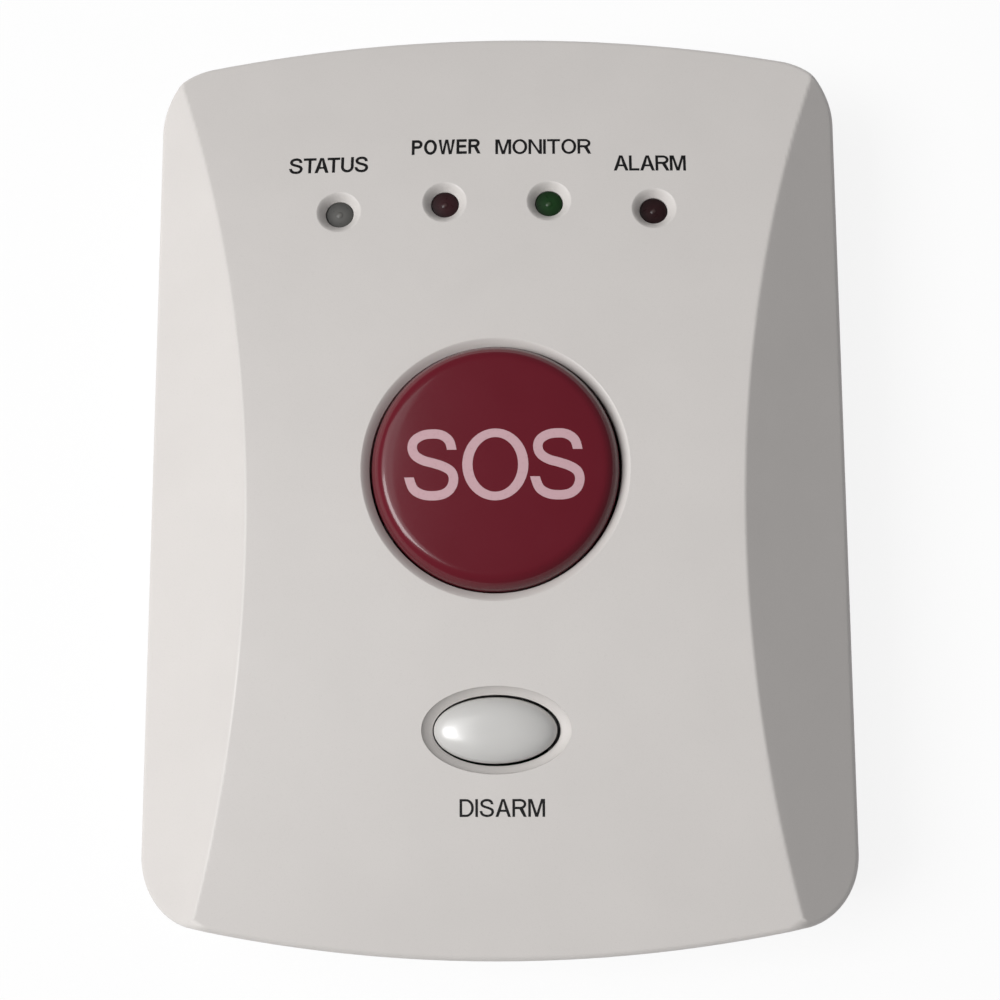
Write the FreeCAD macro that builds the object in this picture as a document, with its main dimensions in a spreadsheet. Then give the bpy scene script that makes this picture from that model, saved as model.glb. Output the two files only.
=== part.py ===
import FreeCAD, Part
import math
import os
import re
import Sketcher

# Wireless panic button: a panel unit with a big round call button, an oval release button
# and four indicator lamps. It lies on its back on four rubber feet.
# X runs across the case, Y from the release button towards the lamps, Z out of the face.
# The origin is on the surface it stands on, under the middle of the case. All sizes are in mm.

doc = FreeCAD.newDocument("PanicButton")
sheet = doc.addObject("Spreadsheet::Sheet", "Sizes")

# Driving dimensions: name, size, what it is
DIMENSIONS = [
    # Case
    ("case_width", 82.0, "width across the straight sides"),
    ("case_length", 110.0, "length along the middle, over both bowed ends"),
    ("bow_radius", 164.2, "plan radius of the bowed ends"),
    ("plan_corner", 8.0, "plan radius of the four corners"),
    ("wall", 2.0, "wall of both covers"),
    ("foot_height", 1.0, "how far the feet hold the back off the table"),
    ("parting_level", 7.0, "where the two covers meet"),
    ("shoulder_level", 15.0, "top of the straight side walls"),
    ("crown_level", 24.0, "highest point of the face"),
    ("crown_radius", 230.0, "how the face bows along its length"),
    ("crown_offset", 8.0, "how far below the middle the face is highest"),
    ("facet_rise", 0.70, "rise of the side facets for each mm inwards"),
    ("rim_bevel", 0.9, "bevel of the outer edge of the face"),
    ("back_bevel", 0.9, "bevel of the outer edge of the back"),
    ("groove_chamfer", 0.35, "chamfers that make the shadow line between the covers"),
    # Lip between the covers
    ("lip_height", 1.4, "height of the tongue of the rear cover"),
    ("lip_play", 0.1, "play round the tongue"),
    # Screws that hold the covers together
    ("case_screw_x", 33.0, "screws from the centre line"),
    ("case_screw_y", 43.5, "screws from the middle"),
    ("boss_width", 6.2, "eight-sided screw boss in the front cover"),
    ("column_width", 7.4, "eight-sided screw column in the rear cover"),
    ("column_level", 9.5, "top of the screw columns"),
    ("screw_shank", 2.5, "shank of the case screws"),
    ("screw_head", 4.8, "head of the case screws"),
    ("screw_head_height", 1.8, "height of that head"),
    ("head_seat_level", 5.0, "where the heads seat in the columns"),
    ("screw_tip_level", 14.0, "tip of the case screws"),
    ("screw_clearance", 0.4, "shank in the columns, and a third less than the heads have"),
    ("pilot_play", 0.1, "pilot holes over the shanks, whose threads are left out"),
    ("pilot_room", 0.5, "pilot holes beyond the tips"),
    # Circuit board
    ("board_level", 9.6, "underside of the board"),
    ("board_thickness", 1.6, "board thickness"),
    ("board_width", 70.0, "board width"),
    ("board_length", 98.0, "board length"),
    ("board_notch_x", 28.0, "half width left between the corner notches"),
    ("board_notch_y", 38.5, "half length left between the corner notches"),
    ("post_x", 27.0, "board posts from the centre line"),
    ("post_y", 28.0, "board posts from the middle"),
    ("post_width", 5.0, "eight-sided board post"),
    ("board_screw_shank", 1.9, "shank of the board screws"),
    ("board_screw_head", 3.8, "head of the board screws"),
    ("board_screw_head_height", 1.4, "height of that head"),
    ("board_screw_length", 5.5, "shank of the board screws under the head"),
    # Call button
    ("call_well", 28.6, "bore of the call button well"),
    ("call_cap", 28.0, "diameter of the call button"),
    ("call_mouth", 0.75, "bevel of the mouth of the well"),
    ("call_top_level", 25.9, "top of the call button at its rim"),
    ("call_edge_bevel", 1.3, "bevel of the button's edge"),
    ("call_skirt", 1.6, "skirt wall"),
    ("call_collar_level", 17.4, "lower end of the guiding collar"),
    ("call_collar", 32.0, "outside of the guiding collar"),
    ("call_lug_reach", 31.0, "width over the lugs that keep the button in"),
    ("call_lug_height", 1.1, "height of those lugs"),
    ("call_lug", 5.0, "width of each lug"),
    ("call_ceiling_level", 23.8, "inside of the button's top"),
    ("call_rib_level", 18.6, "lower edge of the button's ribs"),
    ("call_rib", 1.2, "rib thickness"),
    ("rest_gap", 0.05, "gap between pieces that meet at rest"),
    ("call_travel", 1.2, "travel of the call button"),
    ("call_post", 4.8, "post that presses the switch"),
    ("call_plunger_level", 17.0, "top of the switch plunger"),
    ("key_width", 2.4, "keys that keep the button from turning"),
    ("key_height", 1.6, "how far the keys rise above the lugs"),
    # Release button
    ("release_y", -29.7, "centre of the release button"),
    ("release_long", 14.1, "long axis of the oval button"),
    ("release_short", 7.5, "short axis of the oval button"),
    ("release_play", 0.25, "play round the oval button"),
    ("release_dish", 1.05, "width of the dished rim"),
    ("release_dish_depth", 1.1, "depth of the dished rim"),
    ("release_top_level", 24.05, "highest point of the button"),
    ("release_edge_bevel", 0.8, "bevel of its edge"),
    ("release_collar_wall", 1.4, "wall of the guiding collar"),
    ("release_collar_level", 17.65, "lower end of that collar"),
    ("release_flange_width", 15.9, "rectangular flange that keeps the button in"),
    ("release_flange_length", 6.6, "that flange, along the case"),
    ("release_flange_height", 1.0, "height of that flange"),
    ("release_ceiling_level", 21.2, "inside of the button's top"),
    ("release_skirt", 1.2, "skirt wall"),
    ("release_travel", 0.8, "travel of the release button"),
    ("release_post", 3.6, "post that presses the switch"),
    ("release_plunger_level", 16.2, "top of the switch plunger"),
    # Lamps
    ("lamp_inner_x", 6.2, "inner lamps from the centre line"),
    ("lamp_outer_x", 18.6, "outer lamps from the centre line"),
    ("lamp_inner_y", 32.3, "inner lamps"),
    ("lamp_outer_y", 31.2, "outer lamps"),
    ("lamp_diameter", 3.0, "lamp body"),
    ("lamp_hole", 3.3, "hole round the lamp"),
    ("lamp_dish", 5.4, "mouth of the dish"),
    ("lamp_depth", 1.1, "top of the lamp below the face"),
    ("lamp_height", 5.3, "lamp above its seat"),
    ("lamp_ring", 6.2, "six-sided guide moulded round the lamp inside"),
    ("lamp_ring_height", 3.8, "how far that guide reaches down the lamp"),
    ("lamp_leg", 0.5, "square lamp legs"),
    ("lamp_leg_pitch", 2.5, "lamp legs, middle to middle"),
    ("lamp_spacer", 4.2, "square sleeve under each lamp"),
    # Keyholes for wall screws
    ("keyhole_x", 22.0, "keyholes from the centre line"),
    ("keyhole_y", 29.0, "middle of the round entry"),
    ("keyhole_entry", 8.0, "round entry for the screw head"),
    ("keyhole_slot", 4.0, "slot for the shank"),
    ("keyhole_run", 7.0, "how far the shank slides up"),
    # Feet
    ("foot_x", 32.5, "feet from the centre line"),
    ("foot_y", 33.0, "feet from the middle"),
    ("foot_width", 12.0, "rubber foot, across the case"),
    ("foot_length", 7.0, "rubber foot, along the case"),
    ("foot_bevel", 0.4, "bevel round its sole"),
    ("foot_play", 0.05, "play round it in its seat"),
    ("foot_recess", 0.6, "recess that the foot sits in"),
    # Battery bay and its door
    ("door_width", 43.4, "outer width of the door"),
    ("door_flange_width", 46.6, "width over the sliding flanges"),
    ("door_flange_low_y", -52.0, "lower end of the sliding flanges"),
    ("door_play", 0.15, "play round the door"),
    ("door_lip", 0.95, "lip of the opening under the flanges"),
    ("door_depth", 1.9, "whole thickness of the door"),
    ("door_top_y", -9.0, "upper end of the door"),
    ("bay_width", 42.0, "inside of the bay"),
    ("bay_wall", 1.5, "bay walls"),
    ("bay_end_wall", 1.2, "bay wall at the lower end, clear of the front cover"),
    ("bay_ceiling", 7.5, "underside of the bay's ceiling"),
    ("bay_top", 8.45, "upper side of the bay's ceiling"),
    ("rail_level", 4.3, "top of the rails that the door runs in"),
    ("bay_low_y", -51.0, "lower inner end of the bay"),
    ("bay_high_y", -11.0, "upper inner end of the bay"),
    ("battery_width", 40.0, "battery pack"),
    ("battery_length", 37.0, "battery pack"),
    ("battery_thickness", 4.2, "battery pack"),
    ("battery_gap", 0.15, "battery pack over the door"),
    ("thumb_y", -43.0, "thumb hollow in the door"),
    ("thumb_width", 18.0, "hollow, across the door"),
    ("thumb_length", 8.0, "hollow, along the door"),
    ("thumb_depth", 0.9, "hollow"),
    ("grip_run", 12.0, "length of the ribs in the hollow"),
    ("grip_rib", 0.8, "ribs in the hollow"),
    ("grip_pitch", 2.0, "those ribs, middle to middle"),
    # Loudspeaker
    ("speaker_y", 38.5, "centre of the loudspeaker"),
    ("speaker_diameter", 23.0, "loudspeaker"),
    ("speaker_height", 4.2, "loudspeaker"),
    ("speaker_basket", 2.4, "height of its basket"),
    ("speaker_magnet", 11.0, "its magnet"),
    ("speaker_play", 0.2, "play round it in its frame"),
    ("gasket_height", 0.6, "foam frame under it"),
    ("gasket_wall", 1.6, "width of that foam"),
    ("speaker_frame_wall", 1.2, "eight-sided frame that holds it"),
    ("grille_radius", 8.4, "sound slots end on this circle"),
    ("slot_width", 1.6, "sound slots"),
    ("slot_pitch", 3.0, "sound slots, middle to middle"),
    # Leads
    ("lead_width", 1.6, "flat two-core inner lead"),
    ("lead_thickness", 0.9, "that lead"),
    ("lead_x", 12.0, "where the battery lead leaves the bay"),
    ("lead_level", 5.2, "height of the battery lead in the bay"),
    ("terminal_x", 2.4, "terminals of the loudspeaker"),
    ("terminal_y", 37.5, "front of those terminals"),
    # Slide switch and charging socket
    ("slider_y", -20.0, "rest position of the switch knob"),
    ("slider_level", 12.7, "middle height of the knob"),
    ("slider_length", 4.0, "length of the knob"),
    ("slider_height", 1.7, "height of the knob"),
    ("slider_travel", 2.0, "travel of the knob"),
    ("slider_play", 0.3, "play round the knob"),
    ("slider_tip", 40.8, "how far out the knob reaches"),
    ("slide_case_x", 36.0, "outer side of the switch case"),
    ("slide_case_depth", 4.6, "depth of the switch case"),
    ("slide_case_height", 3.6, "height of the switch case"),
    ("socket_level", 12.6, "middle height of the charging socket"),
    ("socket_width", 7.6, "charging socket shell"),
    ("socket_height", 2.8, "charging socket shell"),
    ("socket_wall", 0.3, "charging socket shell"),
    ("socket_depth", 5.4, "charging socket shell"),
    ("socket_face_y", -52.4, "front of the socket shell"),
    # What the board carries
    ("component_bevel", 0.3, "upper edges of the housed components"),
    ("radio_x", -21.5, "middle of the radio module"),
    ("radio_y", -13.0, "middle of the radio module"),
    ("radio_width", 19.0, "radio module"),
    ("radio_length", 16.0, "radio module"),
    ("radio_height", 2.4, "radio module"),
    ("chip_x", 23.0, "middle of the controller"),
    ("chip_y", 7.0, "middle of the controller"),
    ("chip_width", 8.0, "controller, square"),
    ("chip_height", 1.2, "controller"),
    ("antenna_y", 46.0, "middle of the upright antenna board"),
    ("antenna_width", 40.0, "antenna board"),
    ("antenna_thickness", 1.0, "antenna board"),
    ("antenna_height", 3.6, "antenna board"),
    ("coil_x", 22.5, "middle of the supply coil"),
    ("coil_y", -4.0, "middle of the supply coil"),
    ("coil_width", 6.3, "supply coil, square"),
    ("coil_height", 3.0, "supply coil"),
    ("battery_plug_x", 9.0, "plug of the battery lead"),
    ("battery_plug_y", 4.0, "plug of the battery lead"),
    ("speaker_plug_y", 16.0, "plug of the loudspeaker lead"),
    ("plug_width", 6.0, "both plugs"),
    ("plug_length", 4.4, "both plugs"),
    ("plug_height", 3.4, "both plugs"),
]

NAMES = {row[0] for row in DIMENSIONS}
for line_number, (alias, size, meaning) in enumerate(DIMENSIONS, start=1):
    sheet.set("A%d" % line_number, meaning)
    sheet.set("B%d" % line_number, str(size))
    sheet.setAlias("B%d" % line_number, alias)
doc.recompute()

nodes = {}


# Ties to the sheet


def cells(formula):
    """Turns the names in a formula into cells of the sheet."""
    return re.sub(
        r"[a-z][a-z_]*",
        lambda word: "Sizes." + word.group(0) if word.group(0) in NAMES else word.group(0),
        formula,
    )


def value(formula):
    """Works a formula out as a number."""
    return float(sheet.evalExpression(cells(formula)))


def tie(thing, **formulas):
    """Ties properties of an object to formulas."""
    for name, formula in formulas.items():
        thing.setExpression(name, cells(formula))


def place(thing, across, along, up):
    """Ties the position of an object to formulas."""
    for axis, formula in zip("xyz", (across, along, up)):
        thing.setExpression("Placement.Base." + axis, cells(formula))


def face_level(along):
    """Height of the bowed face at a place along the case."""
    return (
        "(crown_level - crown_radius"
        " + sqrt(crown_radius * crown_radius - (%s + crown_offset) * (%s + crown_offset)))" % (along, along)
    )


# Sketches


def origin_plane(body, role):
    """One of a body's own origin planes."""
    return next(feature for feature in body.Origin.OriginFeatures if feature.Role == role)


class Drawing:
    """A sketch on one of a body's origin planes, with every size tied to the sheet."""

    def __init__(self, body, name, plane="XY_Plane", at=("0", "0", "0")):
        self.sketch = body.newObject("Sketcher::SketchObject", name)
        self.sketch.AttachmentSupport = [(origin_plane(body, plane), "")]
        self.sketch.MapMode = "FlatFace"
        for axis, formula in zip("xyz", at):
            self.sketch.setExpression("AttachmentOffset.Base." + axis, cells(formula))

    def tied(self, *rule):
        """Adds a rule whose last item is a formula."""
        *where, formula = rule
        number = self.sketch.addConstraint(Sketcher.Constraint(*where, value(formula)))
        self.sketch.setExpression("Constraints[%d]" % number, cells(formula))

    def hold(self, element, point, across, up):
        """Holds a point of an element at a place of the sketch."""
        for kind, axis, formula in (("DistanceX", -2, across), ("DistanceY", -1, up)):
            if abs(value(formula)) < 1e-9:
                self.sketch.addConstraint(Sketcher.Constraint("PointOnObject", element, point, axis))
            else:
                self.tied(kind, -1, 1, element, point, formula)

    def circle(self, across, up, diameter):
        """A circle."""
        centre = FreeCAD.Vector(value(across), value(up), 0)
        circle = Part.Circle(centre, FreeCAD.Vector(0, 0, 1), value(diameter) / 2)
        element = self.sketch.addGeometry(circle)
        self.hold(element, 3, across, up)
        self.tied("Diameter", element, diameter)
        return self

    def ellipse(self, across, up, long_axis, short_axis):
        """An ellipse that lies along the sketch's first axis."""
        centre = FreeCAD.Vector(value(across), value(up), 0)
        ellipse = Part.Ellipse(centre, value(long_axis) / 2, value(short_axis) / 2)
        element = self.sketch.addGeometry(ellipse)
        self.sketch.exposeInternalGeometry(element)
        long_line = element + 1
        short_line = element + 2
        self.sketch.addConstraint(Sketcher.Constraint("Horizontal", long_line))
        self.tied("Distance", long_line, long_axis)
        self.tied("Distance", short_line, short_axis)
        self.hold(element, 3, across, up)
        return self

    def polygon(self, *corners):
        """A closed line through corners, each given as two formulas."""
        points = [FreeCAD.Vector(value(across), value(up), 0) for across, up in corners]
        count = len(points)
        first = self.sketch.GeometryCount
        for step in range(count):
            self.sketch.addGeometry(Part.LineSegment(points[step], points[(step + 1) % count]))
        for step in range(count):
            self.sketch.addConstraint(
                Sketcher.Constraint("Coincident", first + step, 2, first + (step + 1) % count, 1)
            )
            self.hold(first + step, 1, *corners[step])
        return self

    def even_sided(self, across, up, flats, sides=6):
        """A regular polygon, given by its width over the flats."""
        reach = 0.5 / math.cos(math.pi / sides)
        headings = [(2 * step + 1) * math.pi / sides for step in range(sides)]
        return self.polygon(*(
            (
                "%s + (%s) * %.6f" % (across, flats, reach * math.cos(heading)),
                "%s + (%s) * %.6f" % (up, flats, reach * math.sin(heading)),
            )
            for heading in headings
        ))

    def box(self, left, low, right, high):
        """An upright rectangle."""
        return self.polygon((left, low), (right, low), (right, high), (left, high))

    def centred_box(self, across, up, width, height):
        """An upright rectangle round a centre."""
        return self.box(
            "%s - (%s) / 2" % (across, width),
            "%s - (%s) / 2" % (up, height),
            "%s + (%s) / 2" % (across, width),
            "%s + (%s) / 2" % (up, height),
        )

    def slot(self, start, end, width):
        """A slot with round ends between two centres."""
        first_centre = FreeCAD.Vector(value(start[0]), value(start[1]), 0)
        last_centre = FreeCAD.Vector(value(end[0]), value(end[1]), 0)
        radius = value(width) / 2
        run = last_centre - first_centre
        side = FreeCAD.Vector(-run.y, run.x, 0)
        side.multiply(radius / run.Length)
        heading = math.atan2(run.y, run.x)
        upright = FreeCAD.Vector(0, 0, 1)
        ends = (
            (last_centre, heading - math.pi / 2, heading + math.pi / 2),
            (first_centre, heading + math.pi / 2, heading + 3 * math.pi / 2),
        )
        arcs = []
        for centre, low, high in ends:
            arc = Part.ArcOfCircle(Part.Circle(centre, upright, radius), low, high)
            arcs.append(self.sketch.addGeometry(arc))
        upper = self.sketch.addGeometry(Part.LineSegment(last_centre + side, first_centre + side))
        lower = self.sketch.addGeometry(Part.LineSegment(first_centre - side, last_centre - side))
        for one, two in ((arcs[0], upper), (upper, arcs[1]), (arcs[1], lower), (lower, arcs[0])):
            self.sketch.addConstraint(Sketcher.Constraint("Tangent", one, 2, two, 1))
        self.sketch.addConstraint(Sketcher.Constraint("Equal", *arcs))
        self.tied("Radius", arcs[0], "(%s) / 2" % width)
        self.hold(arcs[0], 3, *end)
        self.hold(arcs[1], 3, *start)
        return self

    def case_plan(self, inset="0"):
        """The plan of the case, drawn in by an inset: bowed ends, straight sides, round corners."""
        half_width = value("case_width / 2 - (%s)" % inset)
        bow = value("bow_radius - (%s)" % inset)
        bow_centre = value("case_length / 2 - bow_radius")
        corner = value("plan_corner - (%s)" % inset)
        corner_x = half_width - corner
        corner_y = bow_centre + math.sqrt((bow - corner) ** 2 - corner_x**2)
        lean = math.atan2(corner_y - bow_centre, corner_x)
        upright = FreeCAD.Vector(0, 0, 1)

        def arc(across, up, radius, low, high):
            circle = Part.Circle(FreeCAD.Vector(across, up, 0), upright, radius)
            return self.sketch.addGeometry(Part.ArcOfCircle(circle, low, high))

        def side(across, start, end):
            line = Part.LineSegment(FreeCAD.Vector(across, start, 0), FreeCAD.Vector(across, end, 0))
            return self.sketch.addGeometry(line)

        right = side(half_width, -corner_y, corner_y)
        top_right = arc(corner_x, corner_y, corner, 0, lean)
        top = arc(0, bow_centre, bow, lean, math.pi - lean)
        top_left = arc(-corner_x, corner_y, corner, math.pi - lean, math.pi)
        left = side(-half_width, corner_y, -corner_y)
        low_left = arc(-corner_x, -corner_y, corner, math.pi, math.pi + lean)
        low = arc(0, -bow_centre, bow, math.pi + lean, 2 * math.pi - lean)
        low_right = arc(corner_x, -corner_y, corner, 2 * math.pi - lean, 2 * math.pi)
        ring = (right, top_right, top, top_left, left, low_left, low, low_right)
        for one, two in zip(ring, ring[1:] + ring[:1]):
            self.sketch.addConstraint(Sketcher.Constraint("Tangent", one, 2, two, 1))
        for corner_arc in (top_left, low_left, low_right):
            self.sketch.addConstraint(Sketcher.Constraint("Equal", top_right, corner_arc))
        self.tied("Radius", top_right, "plan_corner - (%s)" % inset)
        self.tied("Radius", top, "bow_radius - (%s)" % inset)
        self.tied("Radius", low, "bow_radius - (%s)" % inset)
        self.hold(top, 3, "0", "case_length / 2 - bow_radius")
        self.hold(low, 3, "0", "bow_radius - case_length / 2")
        self.tied("DistanceX", -1, 1, right, 1, "case_width / 2 - (%s)" % inset)
        self.tied("DistanceX", -1, 1, left, 1, "(%s) - case_width / 2" % inset)
        return self

    def above_crown(self, inset="0"):
        """The space above the bowed face, seen from the side."""
        reach = "(case_length / 2 + 5)"
        radius = "crown_radius - (%s)" % inset
        centre = FreeCAD.Vector(value("-crown_offset"), value("crown_level - crown_radius"), 0)
        swing = [
            math.acos((sign * value(reach) - centre.x) / value(radius))
            for sign in (1, -1)
        ]
        circle = Part.Circle(centre, FreeCAD.Vector(0, 0, 1), value(radius))
        arc = Part.ArcOfCircle(circle, *swing)
        face = self.sketch.addGeometry(arc)
        ceiling = value("crown_level + 5")
        high_left = FreeCAD.Vector(-value(reach), ceiling, 0)
        high_right = FreeCAD.Vector(value(reach), ceiling, 0)
        runs = ((arc.EndPoint, high_left), (high_left, high_right), (high_right, arc.StartPoint))
        lines = [self.sketch.addGeometry(Part.LineSegment(*run)) for run in runs]
        ring = [face] + lines
        for one, two in zip(ring, ring[1:] + ring[:1]):
            self.sketch.addConstraint(Sketcher.Constraint("Coincident", one, 2, two, 1))
        self.hold(face, 3, "-crown_offset", "crown_level - crown_radius")
        self.tied("Radius", face, radius)
        self.hold(lines[1], 1, "-" + reach, "crown_level + 5")
        self.hold(lines[1], 2, reach, "crown_level + 5")
        self.sketch.addConstraint(Sketcher.Constraint("Vertical", lines[0]))
        self.sketch.addConstraint(Sketcher.Constraint("Vertical", lines[2]))
        return self

    def above_facets(self, inset="0"):
        """The space above both sloping side facets, seen from the end."""
        drop = "(%s) * sqrt(1 + facet_rise * facet_rise)" % inset
        for sign in ("", "-"):
            outside = sign + "(case_width / 2 + 2)"
            inside = sign + "(case_width / 2 - (crown_level + 5 - shoulder_level + %s) / facet_rise)" % drop
            self.polygon(
                (outside, "shoulder_level - 2 * facet_rise - %s" % drop),
                (outside, "crown_level + 5"),
                (inside, "crown_level + 5"),
            )
        return self


# Features


def new_body(name):
    """An empty body; its name is the sub-part's."""
    body = doc.addObject("PartDesign::Body", name)
    body.Label = name
    return body


def finish(body, feature):
    """Makes a feature the body's last one and works it out."""
    body.Tip = feature
    doc.recompute()
    return feature


def pad(body, drawing, length, downwards=False):
    """Adds the drawing as a block."""
    feature = body.newObject("PartDesign::Pad", drawing.sketch.Name + "_pad")
    feature.Profile = drawing.sketch
    feature.Reversed = downwards
    tie(feature, Length=length)
    return finish(body, feature)


def pocket(body, drawing, depth=None, along_normal=True):
    """Cuts the drawing out, along the plane's normal unless told otherwise, and proves that it cut."""
    before = body.Shape.Volume
    feature = body.newObject("PartDesign::Pocket", drawing.sketch.Name + "_cut")
    feature.Profile = drawing.sketch
    feature.Reversed = along_normal
    if depth is None:
        feature.Type = "ThroughAll"
    else:
        tie(feature, Length=depth)
    finish(body, feature)
    if body.Shape.Volume >= before:
        raise RuntimeError(feature.Name + " cuts nothing")
    return feature


def cut_across(body, drawing):
    """Cuts the drawing through everything on both sides of its plane."""
    before = body.Shape.Volume
    feature = body.newObject("PartDesign::Pocket", drawing.sketch.Name + "_cut")
    feature.Profile = drawing.sketch
    feature.SideType = "Symmetric"
    feature.Type = "ThroughAll"
    finish(body, feature)
    if body.Shape.Volume >= before:
        raise RuntimeError(feature.Name + " cuts nothing")
    return feature


def turn(body, drawing, cutting=False):
    """Turns the drawing once round its upright axis, as material or as a cut."""
    kind = "Groove" if cutting else "Revolution"
    before = 0 if body.Shape.isNull() else body.Shape.Volume
    feature = body.newObject("PartDesign::" + kind, drawing.sketch.Name + "_turn")
    feature.Profile = drawing.sketch
    feature.ReferenceAxis = (drawing.sketch, ["V_Axis"])
    feature.Angle = 360
    finish(body, feature)
    if cutting and body.Shape.Volume >= before:
        raise RuntimeError(feature.Name + " cuts nothing")
    return feature


def mirrored(body, features, across=True, along=True):
    """Repeats features on the other side of the case, of its middle, or of both."""
    pattern = body.newObject("PartDesign::MultiTransform", features[0].Name + "_repeat")
    steps = []
    for wanted, role in ((across, "YZ_Plane"), (along, "XZ_Plane")):
        if wanted:
            step = body.newObject("PartDesign::Mirrored", features[0].Name + "_" + role[:2].lower())
            step.MirrorPlane = (origin_plane(body, role), [""])
            steps.append(step)
    pattern.Originals = features
    pattern.Transformations = steps
    return finish(body, pattern)


def edges_of(feature, chosen):
    """Names of the edges whose middle and ends pass a test."""
    names = []
    for number, edge in enumerate(feature.Shape.Edges, start=1):
        middle = edge.valueAt((edge.FirstParameter + edge.LastParameter) / 2)
        ends = [vertex.Point for vertex in edge.Vertexes]
        if chosen(middle, ends, edge):
            names.append("Edge%d" % number)
    if not names:
        raise RuntimeError(feature.Name + " has no such edge")
    return names


def rounded(body, name, radius, chosen):
    """Rounds the chosen edges of the body."""
    base = body.Tip
    feature = body.newObject("PartDesign::Fillet", name)
    feature.Base = (base, edges_of(base, chosen))
    tie(feature, Radius=radius)
    return finish(body, feature)


def bevelled(body, name, size, chosen, depth=None):
    """Bevels the chosen edges of the body, evenly or deeper than wide."""
    base = body.Tip
    feature = body.newObject("PartDesign::Chamfer", name)
    feature.Base = (base, edges_of(base, chosen))
    tie(feature, Size=size)
    if depth:
        feature.ChamferType = "Two distances"
        tie(feature, Size2=depth)
    return finish(body, feature)


def combined(body, tool, kind):
    """Takes another body's form out of the body, or keeps only what both share."""
    before = body.Shape.Volume
    feature = body.newObject("PartDesign::Boolean", "%s_%s" % (tool.Name, kind.lower()))
    feature.Type = kind
    feature.addObjects([tool])
    finish(body, feature)
    if body.Shape.Volume >= before:
        raise RuntimeError(feature.Name + " cuts nothing")
    return feature


def node(name, thing):
    """Keeps an object as a sub-part with its own label."""
    thing.Label = name
    nodes[name] = thing
    return thing


# Front cover


def at_level(level, tolerance=0.01):
    """Test for edges that lie flat at a height."""
    height = value(level)
    return lambda middle, ends, edge: all(
        abs(point.z - height) < tolerance for point in [middle] + ends
    )


def case_block(name, inset="0"):
    """A block with the plan of the case, taller than the case."""
    body = new_body(name)
    plan = Drawing(body, name + "_plan", at=("0", "0", "parting_level")).case_plan(inset)
    pad(body, plan, "crown_level + 1 - parting_level")
    return body


def cover_form():
    """The front's outer form: what a bowed form and a form with two side facets share, both bevelled."""
    bowed = case_block("bowed_form")
    cut_across(bowed, Drawing(bowed, "crown", "YZ_Plane").above_crown())
    bevelled(bowed, "bowed_rim", "rim_bevel", wall_tops(bowed.Tip))
    body = case_block("front_cover")
    cut_across(body, Drawing(body, "facets", "XZ_Plane").above_facets())
    bevelled(body, "facet_rim", "rim_bevel", wall_tops(body.Tip))
    combined(body, bowed, "Common")
    return body


def cover_core():
    """The hollow of the front cover; what is left out of it stands in the cover as posts and collars."""
    core = case_block("core", "wall")
    cut_across(core, Drawing(core, "core_crown", "YZ_Plane").above_crown("wall"))
    cut_across(core, Drawing(core, "core_facets", "XZ_Plane").above_facets("wall"))
    boss = Drawing(core, "boss", at=("0", "0", "column_level + lip_play / 2"))
    boss.even_sided("case_screw_x", "case_screw_y", "boss_width", 8)
    mirrored(core, [pocket(core, boss)])
    post = Drawing(core, "post", at=("0", "0", "board_level + board_thickness"))
    post.even_sided("post_x", "post_y", "post_width", 8)
    mirrored(core, [pocket(core, post)])
    for label, across, along in (
        ("inner", "lamp_inner_x", "lamp_inner_y"),
        ("outer", "lamp_outer_x", "lamp_outer_y"),
    ):
        level = face_level(along) + " - lamp_depth - lamp_ring_height"
        ring = Drawing(core, label + "_lamp_ring", at=("0", "0", level))
        ring.even_sided(across, along, "lamp_ring")
        mirrored(core, [pocket(core, ring)], along=False)
    call_collar = Drawing(core, "call_collar", at=("0", "0", "call_collar_level"))
    call_collar.even_sided("0", "0", "call_collar", 12)
    pocket(core, call_collar)
    release_collar = Drawing(core, "release_collar", at=("0", "0", "release_collar_level"))
    release_collar.centred_box(
        "0",
        "release_y",
        "release_long + 2 * (release_play + release_collar_wall)",
        "release_short + 2 * (release_play + release_collar_wall)",
    )
    pocket(core, release_collar)
    return core


def is_upright(face):
    """Tells a wall from a floor or a slope."""
    low_u, high_u, low_v, high_v = face.ParameterRange
    return abs(face.normalAt((low_u + high_u) / 2, (low_v + high_v) / 2).z) < 0.001


def wall_tops(feature):
    """Test for the upper edges of a form's outer walls."""
    walls = [face for face in feature.Shape.Faces if is_upright(face)]
    bottom = feature.Shape.BoundBox.ZMin

    def chosen(middle, ends, edge):
        level = middle.z > bottom + 1
        upright = abs(ends[0].z - ends[-1].z) > 0.9 * edge.Length
        return level and not upright and any(edge.isSame(side) for wall in walls for side in wall.Edges)

    return chosen


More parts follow.
